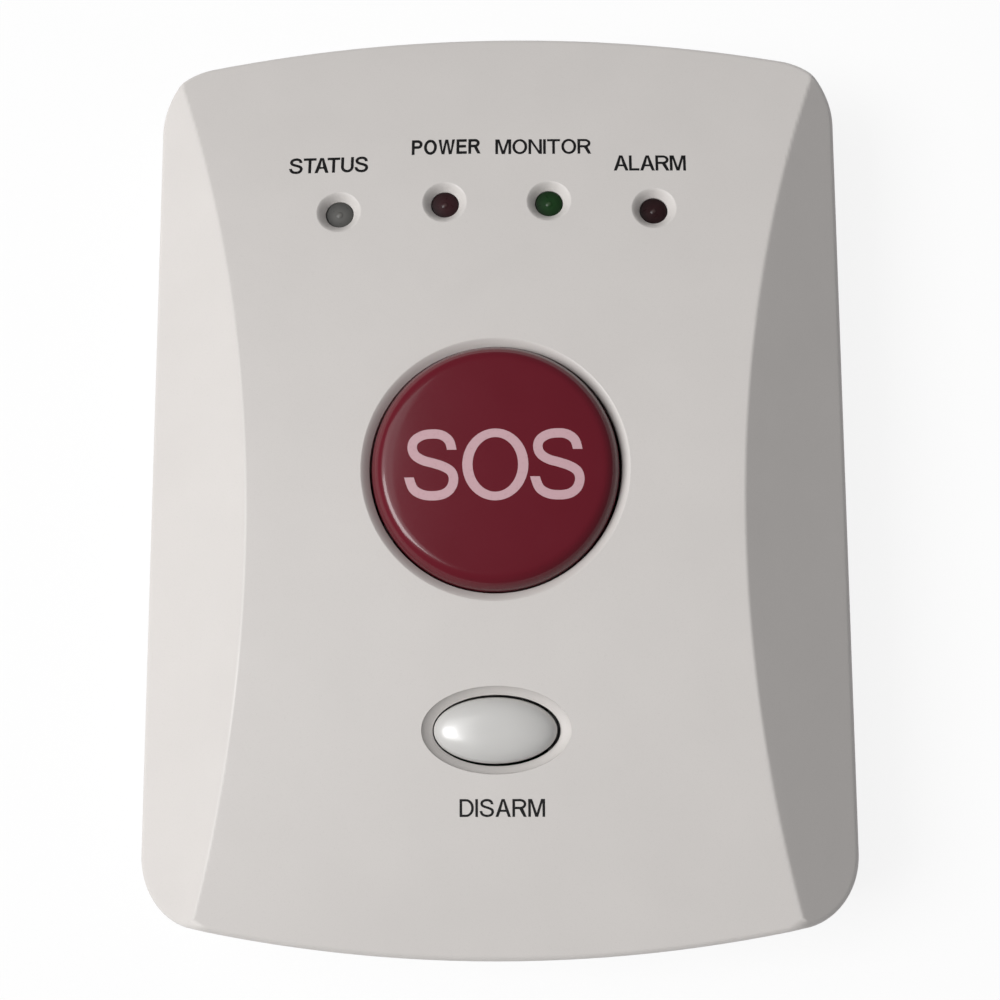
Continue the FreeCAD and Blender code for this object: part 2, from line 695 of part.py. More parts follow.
def front_cover():
    """The moulded front: outer form less its core, with wells, dishes and openings."""
    body = cover_form()
    bevelled(body, "shadow_line", "groove_chamfer", at_level("parting_level"))
    combined(body, cover_core(), "Cut")

    tongue_room = Drawing(body, "tongue_room", at=("0", "0", "parting_level")).case_plan("wall / 2")
    pocket(body, tongue_room, "lip_height + lip_play")

    call_well = Drawing(body, "call_well", at=("0", "0", "call_collar_level")).circle("0", "0", "call_well")
    pocket(body, call_well)
    key_ways = Drawing(body, "key_ways", at=("0", "0", "call_collar_level"))
    key_ways.centred_box("0", "0", "call_lug_reach + 2 * slider_play", "key_width + 2 * slider_play")
    pocket(body, key_ways, "key_height + slider_play")
    bevelled(body, "call_mouth", "call_mouth", ring_at_face("0", "call_well"))

    release_well = Drawing(body, "release_well", at=("0", "0", "release_collar_level"))
    release_well.ellipse(
        "0", "release_y", "release_long + 2 * release_play", "release_short + 2 * release_play"
    )
    pocket(body, release_well)
    bevelled(
        body,
        "release_dish",
        "release_dish",
        ring_at_face("release_y", "release_long + 2 * release_play"),
        "release_dish_depth",
    )

    for label, across, along in (
        ("inner", "lamp_inner_x", "lamp_inner_y"),
        ("outer", "lamp_outer_x", "lamp_outer_y"),
    ):
        dish = Drawing(body, label + "_lamp_dish", "XZ_Plane", at=(across, face_level(along), "-" + along))
        dish.polygon(
            ("0", "-lamp_height - 2"),
            ("lamp_hole / 2", "-lamp_height - 2"),
            ("lamp_hole / 2", "-lamp_depth"),
            ("lamp_dish / 2 + 1", "lamp_depth * 2 / (lamp_dish - lamp_hole)"),
            ("0", "lamp_depth * 2 / (lamp_dish - lamp_hole)"),
        )
        mirrored(body, [turn(body, dish, cutting=True)], along=False)

    pilot = Drawing(body, "case_pilot", at=("0", "0", "column_level"))
    pilot.even_sided("case_screw_x", "case_screw_y", "screw_shank + pilot_play")
    mirrored(body, [pocket(body, pilot, "screw_tip_level - column_level + pilot_room")])
    post_pilot = Drawing(body, "post_pilot", at=("0", "0", "board_level"))
    post_pilot.even_sided("post_x", "post_y", "board_screw_shank + pilot_play")
    mirrored(body, [pocket(body, post_pilot, "board_screw_length + pilot_room")])

    knob_slot = Drawing(body, "knob_slot", "YZ_Plane", at=("0", "0", "case_width / 2 - wall - 1"))
    knob_slot.box(
        "slider_y - slider_length / 2 - slider_play",
        "slider_level - slider_height / 2 - slider_play",
        "slider_y + slider_length / 2 + slider_travel + slider_play",
        "slider_level + slider_height / 2 + slider_play",
    )
    pocket(body, knob_slot, "wall + 2")
    socket_slot = Drawing(body, "socket_slot", "XZ_Plane", at=("0", "0", "case_length / 2 - wall - 1"))
    socket_slot.slot(
        ("-socket_width / 2 + socket_height / 2", "socket_level"),
        ("socket_width / 2 - socket_height / 2", "socket_level"),
        "socket_height + 1",
    )
    pocket(body, socket_slot, "wall + 2")
    return node("front_cover", body)


def ring_at_face(along, width):
    """Test for the edge where a well of a given width meets the face."""
    middle_level = value(face_level(along))
    reach = value(width) / 2

    def chosen(middle, ends, edge):
        near = math.hypot(middle.x, middle.y - value(along)) < reach + 0.5
        return near and abs(middle.z - middle_level) < 1.6 and edge.Length > reach

    return chosen


# Rear cover


def rear_cover():
    """The moulded back: a tray with a tongue, screw columns, keyholes and the battery bay."""
    body = new_body("rear_cover")
    tray = Drawing(body, "tray", at=("0", "0", "foot_height")).case_plan()
    pad(body, tray, "parting_level - foot_height")
    bevelled(body, "back_edge", "back_bevel", at_level("foot_height"))
    bevelled(body, "rear_shadow_line", "groove_chamfer", at_level("parting_level"))
    tongue = Drawing(body, "tongue", at=("0", "0", "parting_level")).case_plan("wall / 2 + lip_play")
    pad(body, tongue, "lip_height")
    inside = Drawing(body, "inside", at=("0", "0", "foot_height + wall")).case_plan("wall")
    pocket(body, inside)

    floor = "foot_height + wall"
    column = Drawing(body, "column", at=("0", "0", floor))
    column.even_sided("case_screw_x", "case_screw_y", "column_width", 8)
    mirrored(body, [pad(body, column, "column_level - foot_height - wall")])
    clearance = Drawing(body, "column_bore", at=("0", "0", "foot_height"))
    clearance.even_sided("case_screw_x", "case_screw_y", "screw_shank + screw_clearance")
    mirrored(body, [pocket(body, clearance)])
    counterbore = Drawing(body, "counterbore", at=("0", "0", "foot_height"))
    counterbore.circle("case_screw_x", "case_screw_y", "screw_head + screw_clearance * 1.5")
    mirrored(body, [pocket(body, counterbore, "head_seat_level - foot_height")])

    foot = Drawing(body, "foot_seat", at=("0", "0", "foot_height"))
    foot.centred_box("foot_x", "foot_y", "foot_width + 2 * foot_play", "foot_length + 2 * foot_play")
    mirrored(body, [pocket(body, foot, "foot_recess")])

    entry = Drawing(body, "keyhole_entry", at=("0", "0", "foot_height"))
    entry.circle("keyhole_x", "keyhole_y", "keyhole_entry")
    mirrored(body, [pocket(body, entry)], along=False)
    shank_way = Drawing(body, "keyhole_slot", at=("0", "0", "foot_height"))
    shank_way.slot(("keyhole_x", "keyhole_y"), ("keyhole_x", "keyhole_y + keyhole_run"), "keyhole_slot")
    mirrored(body, [pocket(body, shank_way)], along=False)

    battery_bay(body)
    speaker_seat(body)
    return node("rear_cover", body)


def battery_bay(body):
    """The bay for the battery pack, and the rails that the door slides in."""
    end = "-case_length / 2 + wall"
    rails = Drawing(body, "rails", at=("0", "0", "foot_height + wall"))
    rails.box(
        "-door_flange_width / 2 - bay_wall",
        end,
        "door_flange_width / 2 + bay_wall",
        "door_top_y + bay_wall",
    )
    pad(body, rails, "rail_level - foot_height - wall")
    walls = Drawing(body, "bay_walls", at=("0", "0", "foot_height + wall"))
    walls.box(
        "-bay_width / 2 - bay_wall",
        "bay_low_y - bay_end_wall",
        "bay_width / 2 + bay_wall",
        "bay_high_y + bay_wall",
    )
    pad(body, walls, "bay_top - foot_height - wall")
    bay = Drawing(body, "bay", at=("0", "0", "foot_height"))
    bay.box("-bay_width / 2", "bay_low_y", "bay_width / 2", "bay_high_y")
    pocket(body, bay, "bay_ceiling - foot_height")
    opening = Drawing(body, "door_opening", at=("0", "0", "foot_height"))
    opening.box(
        "-door_width / 2 - door_play",
        "-case_length / 2 - 1",
        "door_width / 2 + door_play",
        "door_top_y + door_play",
    )
    pocket(body, opening, "door_depth + door_play")
    flange_way = Drawing(body, "flange_way", at=("0", "0", "foot_height + door_lip"))
    flange_way.box(
        "-door_flange_width / 2 - door_play",
        "-case_length / 2 - 1",
        "door_flange_width / 2 + door_play",
        "door_top_y + door_play",
    )
    pocket(body, flange_way, "door_depth - door_lip + door_play")
    lead_notch = Drawing(body, "lead_notch", "XZ_Plane", at=("0", "0", "-bay_high_y - bay_wall - 1"))
    lead_notch.centred_box("lead_x", "lead_level", "2 * lead_width", "2 * lead_width")
    pocket(body, lead_notch, "bay_wall + 2")


def speaker_seat(body):
    """The frame that holds the loudspeaker, over a grille of slots that fill a circle."""
    frame = Drawing(body, "speaker_frame", at=("0", "0", "foot_height + wall"))
    inner = "speaker_diameter + 2 * speaker_play"
    frame.even_sided("0", "speaker_y", inner + " + 2 * speaker_frame_wall", 8)
    frame.even_sided("0", "speaker_y", inner, 8)
    pad(body, frame, "speaker_height")
    grille = Drawing(body, "grille", at=("0", "0", "foot_height"))
    for step in range(-2, 3):
        width = "2 * sqrt(grille_radius * grille_radius - %d * slot_pitch * slot_pitch)" % step**2
        grille.centred_box("0", "speaker_y + %d * slot_pitch" % step, width, "slot_width")
    pocket(body, grille)


def battery_door():
    """The door: a plate whose side flanges run in the rails, with a thumb hollow and grip ribs."""
    body = new_body("battery_door")
    plate = door_outline(Drawing(body, "door_plate", at=("0", "0", "foot_height")))
    pad(body, plate, "door_depth")
    bevelled(body, "door_end", "back_bevel", lambda middle, ends, edge: (
        abs(middle.z - value("foot_height")) < 0.01 and middle.y < value("door_flange_low_y")
    ))
    flanges = Drawing(body, "door_flanges", at=("0", "0", "foot_height + door_lip + door_play"))
    flanges.box("-door_flange_width / 2", "door_flange_low_y", "door_flange_width / 2", "door_top_y")
    pad(body, flanges, "door_depth - door_lip - door_play")
    hollow = Drawing(body, "thumb_hollow", at=("0", "0", "foot_height"))
    hollow.centred_box("0", "thumb_y", "thumb_width", "thumb_length")
    pocket(body, hollow, "thumb_depth")
    ribs = Drawing(body, "grip_ribs", at=("0", "0", "foot_height"))
    for step in range(-1, 2):
        ribs.centred_box("0", "thumb_y + %d * grip_pitch" % step, "grip_run", "grip_rib")
    pad(body, ribs, "thumb_depth + rest_gap")
    return node("battery_door", body)


def door_outline(drawing):
    """A rectangle whose lower end follows the bow of the case."""
    half = value("door_width / 2")
    top = value("door_top_y")
    bow = value("bow_radius")
    centre = FreeCAD.Vector(0, value("bow_radius - case_length / 2"), 0)
    low = centre.y - math.sqrt(bow**2 - half**2)
    lean = math.asin(half / bow)
    circle = Part.Circle(centre, FreeCAD.Vector(0, 0, 1), bow)
    sketch = drawing.sketch
    arc = sketch.addGeometry(Part.ArcOfCircle(circle, 1.5 * math.pi - lean, 1.5 * math.pi + lean))
    corners = [
        FreeCAD.Vector(half, low, 0),
        FreeCAD.Vector(half, top, 0),
        FreeCAD.Vector(-half, top, 0),
        FreeCAD.Vector(-half, low, 0),
    ]
    lines = [sketch.addGeometry(Part.LineSegment(*run)) for run in zip(corners, corners[1:])]
    ring = [arc] + lines
    for one, two in zip(ring, ring[1:] + ring[:1]):
        sketch.addConstraint(Sketcher.Constraint("Coincident", one, 2, two, 1))
    drawing.hold(arc, 3, "0", "bow_radius - case_length / 2")
    drawing.tied("Radius", arc, "bow_radius")
    drawing.hold(lines[1], 1, "door_width / 2", "door_top_y")
    drawing.hold(lines[1], 2, "-door_width / 2", "door_top_y")
    sketch.addConstraint(Sketcher.Constraint("Vertical", lines[0]))
    sketch.addConstraint(Sketcher.Constraint("Vertical", lines[2]))
    return drawing


# Feet, screws and board


def rubber_foot(number, across, along):
    """A rubber foot with a bevelled sole, glued in its seat."""
    name = "rubber_foot_%d" % number
    body = new_body(name)
    sole = Drawing(body, name + "_sole").centred_box("0", "0", "foot_width", "foot_length")
    pad(body, sole, "foot_height + foot_recess")
    bevelled(body, name + "_bevel", "foot_bevel", at_level("0"))
    place(body, across, along, "0")
    return node(name, body)


def screw(name, head, head_height, shank, length, round_head=True):
    """A screw that points up from its seat: a round head with a six-sided socket, or a six-sided head."""
    body = new_body(name)
    top = Drawing(body, name + "_head")
    if round_head:
        top.circle("0", "0", head)
    else:
        top.even_sided("0", "0", head)
    pad(body, top, head_height, downwards=True)
    stem = Drawing(body, name + "_shank").even_sided("0", "0", shank)
    pad(body, stem, length)
    if round_head:
        socket = Drawing(body, name + "_socket", at=("0", "0", "-" + head_height))
        socket.even_sided("0", "0", "%s / 2" % head)
        pocket(body, socket, "%s / 2" % head_height)
    return body


def four_of(name, thing):
    """One sub-part made of an object and its images across both middle planes of the case."""
    pair = with_image(name + "_pair", thing, FreeCAD.Vector(1, 0, 0))
    return node(name, with_image(name, pair, FreeCAD.Vector(0, 1, 0)))


def with_image(name, thing, normal):
    """An object and its mirror image, kept as separate solids."""
    image = doc.addObject("Part::Mirroring", name + "_image")
    image.Source = thing
    image.Normal = normal
    both = doc.addObject("Part::Compound", name)
    both.Links = [thing, image]
    doc.recompute()
    return both


def fasteners():
    """The screws through the columns and the screws that hold the board."""
    case_screw = screw(
        "case_screw", "screw_head", "screw_head_height", "screw_shank", "screw_tip_level - head_seat_level"
    )
    place(case_screw, "case_screw_x", "case_screw_y", "head_seat_level")
    four_of("case_screws", case_screw)
    board_screw = screw(
        "board_screw",
        "board_screw_head",
        "board_screw_head_height",
        "board_screw_shank",
        "board_screw_length",
        round_head=False,
    )
    place(board_screw, "post_x", "post_y", "board_level")
    four_of("board_screws", board_screw)


def circuit_board():
    """The board, notched round the screw columns and drilled for posts and lamp legs."""
    body = new_body("circuit_board")
    outline = Drawing(body, "board_outline", at=("0", "0", "board_level"))
    wide, narrow = "board_width / 2", "board_notch_x"
    tall, short = "board_length / 2", "board_notch_y"
    outline.polygon(
        (wide, "-" + short), (wide, short), (narrow, short), (narrow, tall),
        ("-" + narrow, tall), ("-" + narrow, short), ("-" + wide, short), ("-" + wide, "-" + short),
        ("-" + narrow, "-" + short), ("-" + narrow, "-" + tall), (narrow, "-" + tall), (narrow, "-" + short),
    )
    pad(body, outline, "board_thickness")
    holes = Drawing(body, "board_hole", at=("0", "0", "board_level"))
    holes.even_sided("post_x", "post_y", "board_screw_shank + screw_clearance")
    mirrored(body, [pocket(body, holes)])
    legs = Drawing(body, "leg_hole", at=("0", "0", "board_level"))
    for across, along in (("lamp_inner_x", "lamp_inner_y"), ("lamp_outer_x", "lamp_outer_y")):
        legs.centred_box(across, along, "lamp_leg_pitch + 2 * lamp_leg", "2 * lamp_leg")
    mirrored(body, [pocket(body, legs)], along=False)
    return node("circuit_board", body)


# Lamps


def lamp_seat(along):
    """Height of a lamp's seat, so that its top stands just below the face."""
    return face_level(along) + " - lamp_depth - lamp_height"


def lamp(name, across, along):
    """A round lamp with two square legs."""
    body = new_body(name)
    barrel = Drawing(body, name + "_barrel").circle("0", "0", "lamp_diameter")
    pad(body, barrel, "lamp_height")
    legs = Drawing(body, name + "_legs")
    for sign in "-+":
        legs.centred_box("0 %s lamp_leg_pitch / 2" % sign, "0", "lamp_leg", "lamp_leg")
    pad(body, legs, lamp_seat(along) + " - board_level + 1", downwards=True)
    place(body, across, along, lamp_seat(along))
    return node(name, body)


def lamp_spacer(name, across, along):
    """The sleeve that holds a lamp at its height over the board."""
    body = new_body(name)
    wall = Drawing(body, name + "_wall").centred_box("0", "0", "lamp_spacer", "lamp_spacer")
    pad(body, wall, lamp_seat(along) + " - board_level - board_thickness")
    way = Drawing(body, name + "_way").centred_box("0", "0", "lamp_leg_pitch + 2 * lamp_leg", "2 * lamp_leg")
    pocket(body, way)
    place(body, across, along, "board_level + board_thickness")
    return body


def lamps():
    """Four lamps in a shallow arc, and their sleeves as one sub-part."""
    inner, outer = ("lamp_inner_x", "lamp_inner_y"), ("lamp_outer_x", "lamp_outer_y")
    for name, sign, (across, along) in (
        ("status_lamp", "-", outer),
        ("power_lamp", "-", inner),
        ("monitor_lamp", "", inner),
        ("alarm_lamp", "", outer),
    ):
        lamp(name, sign + across, along)
    sleeves = [
        lamp_spacer("spacer_inner", *inner),
        lamp_spacer("spacer_outer", *outer),
    ]
    group = doc.addObject("Part::Compound", "spacer_group")
    group.Links = sleeves
    doc.recompute()
    node("lamp_spacers", with_image("lamp_spacers", group, FreeCAD.Vector(1, 0, 0)))


# Call button and release button


def call_cap():
    """The round call button: bevelled top, skirt, four lugs, two keys, and a ribbed post for the switch."""
    body = new_body("call_cap")
    lug_top = "call_collar_level - rest_gap"
    skirt_end = lug_top + " - call_lug_height"
    disc = Drawing(body, "call_form", at=("0", "0", skirt_end)).circle("0", "0", "call_cap")
    pad(body, disc, "call_top_level - (%s)" % skirt_end)
    bevelled(body, "call_edge", "call_edge_bevel", at_level("call_top_level"))
    lugs = Drawing(body, "call_lugs", at=("0", "0", lug_top))
    lug_middle = "(call_cap / 2 - 1 + call_lug_reach / 2) / 2"
    lug_run = "call_lug_reach / 2 - call_cap / 2 + 1"
    keys = Drawing(body, "call_keys", at=("0", "0", lug_top))
    for side in ("", "-"):
        lugs.centred_box("%s(%s)" % (side, lug_middle), "0", lug_run, "call_lug")
        lugs.centred_box("0", "%s(%s)" % (side, lug_middle), "call_lug", lug_run)
        keys.centred_box("%s(%s)" % (side, lug_middle), "0", lug_run + " - 0.2", "key_width")
    pad(body, lugs, "call_lug_height", downwards=True)
    pad(body, keys, "key_height")
    hollow = Drawing(body, "call_hollow", at=("0", "0", skirt_end))
    hollow.even_sided("0", "0", "call_cap - 2 * call_skirt", 12)
    pocket(body, hollow, "call_ceiling_level - (%s)" % skirt_end)
    ribs = Drawing(body, "call_ribs", at=("0", "0", "call_rib_level"))
    ribs.centred_box("0", "0", "call_cap - 2", "call_rib")
    pad(body, ribs, "call_ceiling_level - call_rib_level + 0.5")
    cross_ribs = Drawing(body, "call_cross_ribs", at=("0", "0", "call_rib_level"))
    cross_ribs.centred_box("0", "0", "call_rib", "call_cap - 2")
    pad(body, cross_ribs, "call_ceiling_level - call_rib_level + 0.5")
    post = Drawing(body, "call_post", at=("0", "0", "call_plunger_level + rest_gap"))
    post.even_sided("0", "0", "call_post", 8)
    pad(body, post, "call_ceiling_level - call_plunger_level + 0.5")
    return node("call_cap", body)


def release_cap():
    """The oval release button: bevelled top, skirt, rectangular flange, and a post for the switch."""
    body = new_body("release_cap")
    flange_top = "release_collar_level - rest_gap"
    skirt_end = flange_top + " - release_flange_height"
    oval = Drawing(body, "release_form", at=("0", "0", flange_top))
    oval.ellipse("0", "release_y", "release_long", "release_short")
    pad(body, oval, "release_top_level - (%s)" % flange_top)
    bevelled(body, "release_edge", "release_edge_bevel", at_level("release_top_level"))
    flange = Drawing(body, "release_flange", at=("0", "0", flange_top))
    flange.centred_box("0", "release_y", "release_flange_width", "release_flange_length")
    pad(body, flange, "release_flange_height", downwards=True)
    hollow = Drawing(body, "release_hollow", at=("0", "0", skirt_end))
    hollow.ellipse("0", "release_y", "release_long - 2 * release_skirt", "release_short - 2 * release_skirt")
    pocket(body, hollow, "release_ceiling_level - (%s)" % skirt_end)
    post = Drawing(body, "release_post", at=("0", "0", "release_plunger_level + rest_gap"))
    post.even_sided("0", "release_y", "release_post", 8)
    pad(body, post, "release_ceiling_level - release_plunger_level + 0.5")
    return node("release_cap", body)


def push_switch(name, along, width, height, plunger, plunger_level, travel):
    """A push switch on the board: a bevelled case with an eight-sided plunger, a sub-part of its own."""
    board_top = "board_level + board_thickness"
    body = new_body(name + "_body")
    case = Drawing(body, name + "_case")
    case.box("-(%s) / 2" % width, "-(%s) / 2" % width, "(%s) / 2" % width, "(%s) / 2" % width)
    pad(body, case, height)
    top = value(height)
    bevelled(body, name + "_bevel", "0.4", lambda middle, ends, edge: all(
        abs(point.z - top) < 0.01 for point in ends
    ))
    bore = Drawing(body, name + "_bore", at=("0", "0", height)).even_sided("0", "0", "%s + 0.4" % plunger, 8)
    pocket(body, bore, "(%s) - 1" % height, along_normal=False)
    place(body, "0", along, board_top)
    node(name + "_body", body)

    stem = new_body(name + "_plunger")
    disc = Drawing(stem, name + "_stem").even_sided("0", "0", plunger, 8)
    length = "%s - (%s) - 1 - (%s) - 0.2" % (plunger_level, board_top, travel)
    pad(stem, disc, length, downwards=True)
    place(stem, "0", along, plunger_level)
    node(name + "_plunger", stem)


# Slide switch and charging socket


def slide_switch():
    """The power switch at the edge of the board: a slotted case and the knob that slides in it."""
    board_top = "board_level + board_thickness"
    body = new_body("power_switch_body")
    middle = "(slider_y + slider_travel / 2)"
    case = Drawing(body, "slide_case", at=("0", "0", board_top))
    case.box("slide_case_x - slide_case_depth", middle + " - 5.5", "slide_case_x", middle + " + 5.5")
    pad(body, case, "slide_case_height")
    way = Drawing(body, "slide_way", "YZ_Plane", at=("0", "0", "slide_case_x"))
    way.box(
        "slider_y - slider_length / 2 - slider_play",
        "slider_level - slider_height / 2 - slider_play",
        "slider_y + slider_length / 2 + slider_travel + slider_play",
        "slider_level + slider_height / 2 + slider_play",
    )
    pocket(body, way, "2", along_normal=False)
    node("power_switch_body", body)

    knob = new_body("power_switch_knob")
    bar = Drawing(knob, "knob_bar", "YZ_Plane", at=("0", "0", "slide_case_x - 1.6"))
    bar.box(
        "slider_y - slider_length / 2",
        "slider_level - slider_height / 2",
        "slider_y + slider_length / 2",
        "slider_level + slider_height / 2",
    )
    pad(knob, bar, "slider_tip - slide_case_x + 1.6")
    grip = Drawing(knob, "knob_grip", "XZ_Plane", at=("0", "0", "-slider_y"))
    grip.box("slider_tip - 0.5", "slider_level - 1", "slider_tip + 0.5", "slider_level + 1")
    notch = cut_thin(knob, grip, "0.6")
    steps = knob.newObject("PartDesign::LinearPattern", "grip_notches")
    steps.Originals = [notch]
    steps.Direction = (origin_plane(knob, "Y_Axis"), [""])
    steps.Length = 1.2
    steps.Occurrences = 2
    finish(knob, steps)
    node("power_switch_knob", knob)


def cut_thin(body, drawing, thickness):
    """Cuts a thin slice evenly on both sides of the drawing's plane."""
    feature = body.newObject("PartDesign::Pocket", drawing.sketch.Name + "_cut")
    feature.Profile = drawing.sketch
    feature.SideType = "Symmetric"
    tie(feature, Length=thickness)
    return finish(body, feature)


def charging_socket():
    """The charging socket: a rounded metal shell with its tongue, at the lower edge of the board."""
    body = new_body("charging_socket")
    shell = Drawing(body, "socket_shell", "XZ_Plane", at=("0", "0", "-socket_face_y - socket_depth"))
    half = "(socket_width / 2 - socket_height / 2)"
    shell.slot(("-" + half, "socket_level"), (half, "socket_level"), "socket_height")
    pad(body, shell, "socket_depth")
    mouth = Drawing(body, "socket_mouth", "XZ_Plane", at=("0", "0", "-socket_face_y"))
    inner_height = "socket_height - 2 * socket_wall"
    mouth.centred_box("0", "socket_level", "socket_width - socket_height", inner_height)
    pocket(body, mouth, "socket_depth - 1", along_normal=False)
    tongue = Drawing(body, "socket_tongue", "XZ_Plane", at=("0", "0", "-socket_face_y - socket_depth"))
    tongue.centred_box("0", "socket_level", "socket_width - 1.4 * socket_height", "2 * socket_wall")
    pad(body, tongue, "socket_depth - 0.8")
    node("charging_socket", body)


# Loose parts inside


def block(name, across, along, low, width, length, height):
    """A plain rectangular component round a place of the board."""
    box = doc.addObject("Part::Box", name)
    tie(box, Length=width, Width=length, Height=height)
    place(box, "%s - %s / 2" % (across, width), "%s - %s / 2" % (along, length), low)
    return node(name, box)


def bevelled_block(name, across, along, width, length, height):
    """A rectangular component on the board with its upper edges bevelled."""
    body = new_body(name)
    level = "board_level + board_thickness"
    base = Drawing(body, name + "_base", at=("0", "0", level)).centred_box(across, along, width, length)
    pad(body, base, height)
    bevelled(body, name + "_bevel", "component_bevel", at_level("%s + %s" % (level, height)))
    return node(name, body)


def battery_pack():
    """A flat sealed cell in its sleeve, rounded along both long sides."""
    body = new_body("battery_pack")
    far_end = "(bay_low_y + bay_high_y) / 2 + battery_length / 2"
    end = Drawing(body, "pack_end", "XZ_Plane", at=("0", "0", "-(%s)" % far_end))
    half = "(battery_width / 2 - battery_thickness / 2)"
    level = "foot_height + door_depth + battery_gap + battery_thickness / 2"
    end.slot(("-" + half, level), (half, level), "battery_thickness")
    pad(body, end, "battery_length")
    return node("battery_pack", body)


def loudspeaker():
    """A round loudspeaker, turned from its section, face down on its foam."""
    seat = "foot_height + wall"
    foam_frame = new_body("speaker_gasket")
    foam = Drawing(foam_frame, "foam", at=("0", "0", seat))
    foam.even_sided("0", "speaker_y", "speaker_diameter", 8)
    foam.even_sided("0", "speaker_y", "speaker_diameter - 2 * gasket_wall", 8)
    pad(foam_frame, foam, "gasket_height")
    node("speaker_gasket", foam_frame)

    body = new_body("loudspeaker")
    profile = Drawing(body, "speaker_profile", "XZ_Plane")
    profile.polygon(
        ("0", "0"),
        ("speaker_diameter / 2", "0"),
        ("speaker_diameter / 2", "speaker_basket"),
        ("0", "speaker_basket"),
    )
    turn(body, profile)
    magnet = Drawing(body, "speaker_magnet_form").even_sided("0", "0", "speaker_magnet", 8)
    pad(body, magnet, "speaker_height")
    terminal = Drawing(body, "terminal_strip", at=("0", "0", "speaker_height - 0.5"))
    terminal.box(
        "terminal_x - 2", "terminal_y - speaker_y", "terminal_x + 2", "terminal_y - speaker_y + 2.4"
    )
    pad(body, terminal, "lead_width + 0.5")
    place(body, "0", "speaker_y", "%s + gasket_height" % seat)
    node("loudspeaker", body)


def lead(name, route):
    """A flat two-core lead: straight runs joined by tangent arcs, swept with a flat section."""
    points = [FreeCAD.Vector(*(value(formula) for formula in point)) for point in route]
    edges = []
    start = points[0]
    for before, corner, after in zip(points, points[1:], points[2:]):
        inward = (before - corner).normalize()
        outward = (after - corner).normalize()
        half_turn = (math.pi - inward.getAngle(outward)) / 2
        reach = 0.45 * min((before - corner).Length, (after - corner).Length)
        print(name, "bend radius", round(reach / math.tan(half_turn), 1))
        near = corner + inward * reach
        far = corner + outward * reach
        bisector = (inward + outward).normalize()
        bend = reach / math.tan(half_turn)
        centre = corner + bisector * math.hypot(bend, reach)
        middle = centre - bisector * bend
        edges.append(Part.LineSegment(start, near).toShape())
        edges.append(Part.Arc(near, middle, far).toShape())
        start = far
    edges.append(Part.LineSegment(start, points[-1]).toShape())
    path = Part.Wire(edges)
    half_width = value("lead_width / 2")
    half_thickness = value("lead_thickness / 2")
    flat = ((-1, -1), (1, -1), (1, 1), (-1, 1), (-1, -1))
    section = Part.makePolygon([
        points[0] + FreeCAD.Vector(side * half_width, 0, up * half_thickness) for side, up in flat
    ])
    tube = Part.Wire(path).makePipeShell([section], True, False)
    if abs(tube.Volume / (4 * half_width * half_thickness * path.Length) - 1) > 0.02:
        raise RuntimeError(name + " has the wrong volume")
    thing = doc.addObject("Part::Feature", name)
    thing.Shape = tube
    thing.Placement = FreeCAD.Placement()
    return node(name, thing)


def electronics():
    """What the board carries, the battery, the loudspeaker and their leads."""
    top = "board_level + board_thickness"
    bevelled_block("radio_module", "radio_x", "radio_y", "radio_width", "radio_length", "radio_height")
    bevelled_block("controller_chip", "chip_x", "chip_y", "chip_width", "chip_width", "chip_height")
    block("antenna_board", "0", "antenna_y", top, "antenna_width", "antenna_thickness", "antenna_height")
    bevelled_block("supply_coil", "coil_x", "coil_y", "coil_width", "coil_width", "coil_height")
    for name, across, along in (
        ("battery_plug", "battery_plug_x", "battery_plug_y"),
        ("speaker_plug", "0", "speaker_plug_y"),
    ):
        block(name, across, along, "board_level - plug_height", "plug_width", "plug_length", "plug_height")
    pack_end = "(bay_low_y + bay_high_y) / 2 + battery_length / 2"
    plug_level = "board_level - plug_height / 2"
    plug_face = "battery_plug_y - plug_length / 2"
    lead("battery_lead", (
        ("lead_x", pack_end, "lead_level"),
        ("lead_x", pack_end + " + 4.3", "lead_level"),
        ("battery_plug_x + 0.8", plug_face + " - 4.4", plug_level),
        ("battery_plug_x + 0.8", plug_face, plug_level),
    ))
    back = "foot_height + wall + gasket_height + speaker_height + lead_width / 2"
    speaker_face = "speaker_plug_y + plug_length / 2"
    lead("speaker_lead", (
        ("terminal_x", "terminal_y", back),
        ("terminal_x", "terminal_y - 5", back),
        ("0", speaker_face + " + 6.8", back),
        ("0", speaker_face, back),
    ))
    battery_pack()
    loudspeaker()


front_cover()
rear_cover()
battery_door()
for number, (across, along) in enumerate(
    (("-foot_x", "foot_y"), ("foot_x", "foot_y"), ("-foot_x", "-foot_y"), ("foot_x", "-foot_y")), start=1
):
    rubber_foot(number, across, along)
fasteners()
circuit_board()
lamps()
call_cap()
release_cap()
push_switch("call_switch", "0", "8", "4.3", "3.6", "call_plunger_level", "call_travel")
push_switch("release_switch", "release_y", "6", "3.5", "3.2", "release_plunger_level", "release_travel")
slide_switch()
charging_socket()
electronics()
doc.recompute()

for thing in doc.Objects:
    if {"Invalid", "Error"} & set(thing.State):
        raise RuntimeError("%s failed: %s" % (thing.Name, thing.State))
for name, thing in nodes.items():
    if thing.Shape.isNull() or not thing.Shape.isValid():
        raise RuntimeError(name + " has no valid shape")

os.makedirs("parts", exist_ok=True)
for name, thing in nodes.items():
    thing.Shape.exportStep("parts/%s.step" % name)
    print(name, round(thing.Shape.Volume, 1), len(thing.Shape.Solids))
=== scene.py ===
import logging
import math
from collections import Counter
from collections.abc import Callable, Iterable, Mapping, Sequence
from dataclasses import dataclass, field
from enum import Enum
from typing import Any

import bpy
import numpy as np
from mathutils import Matrix, Vector
from mathutils.geometry import delaunay_2d_cdt


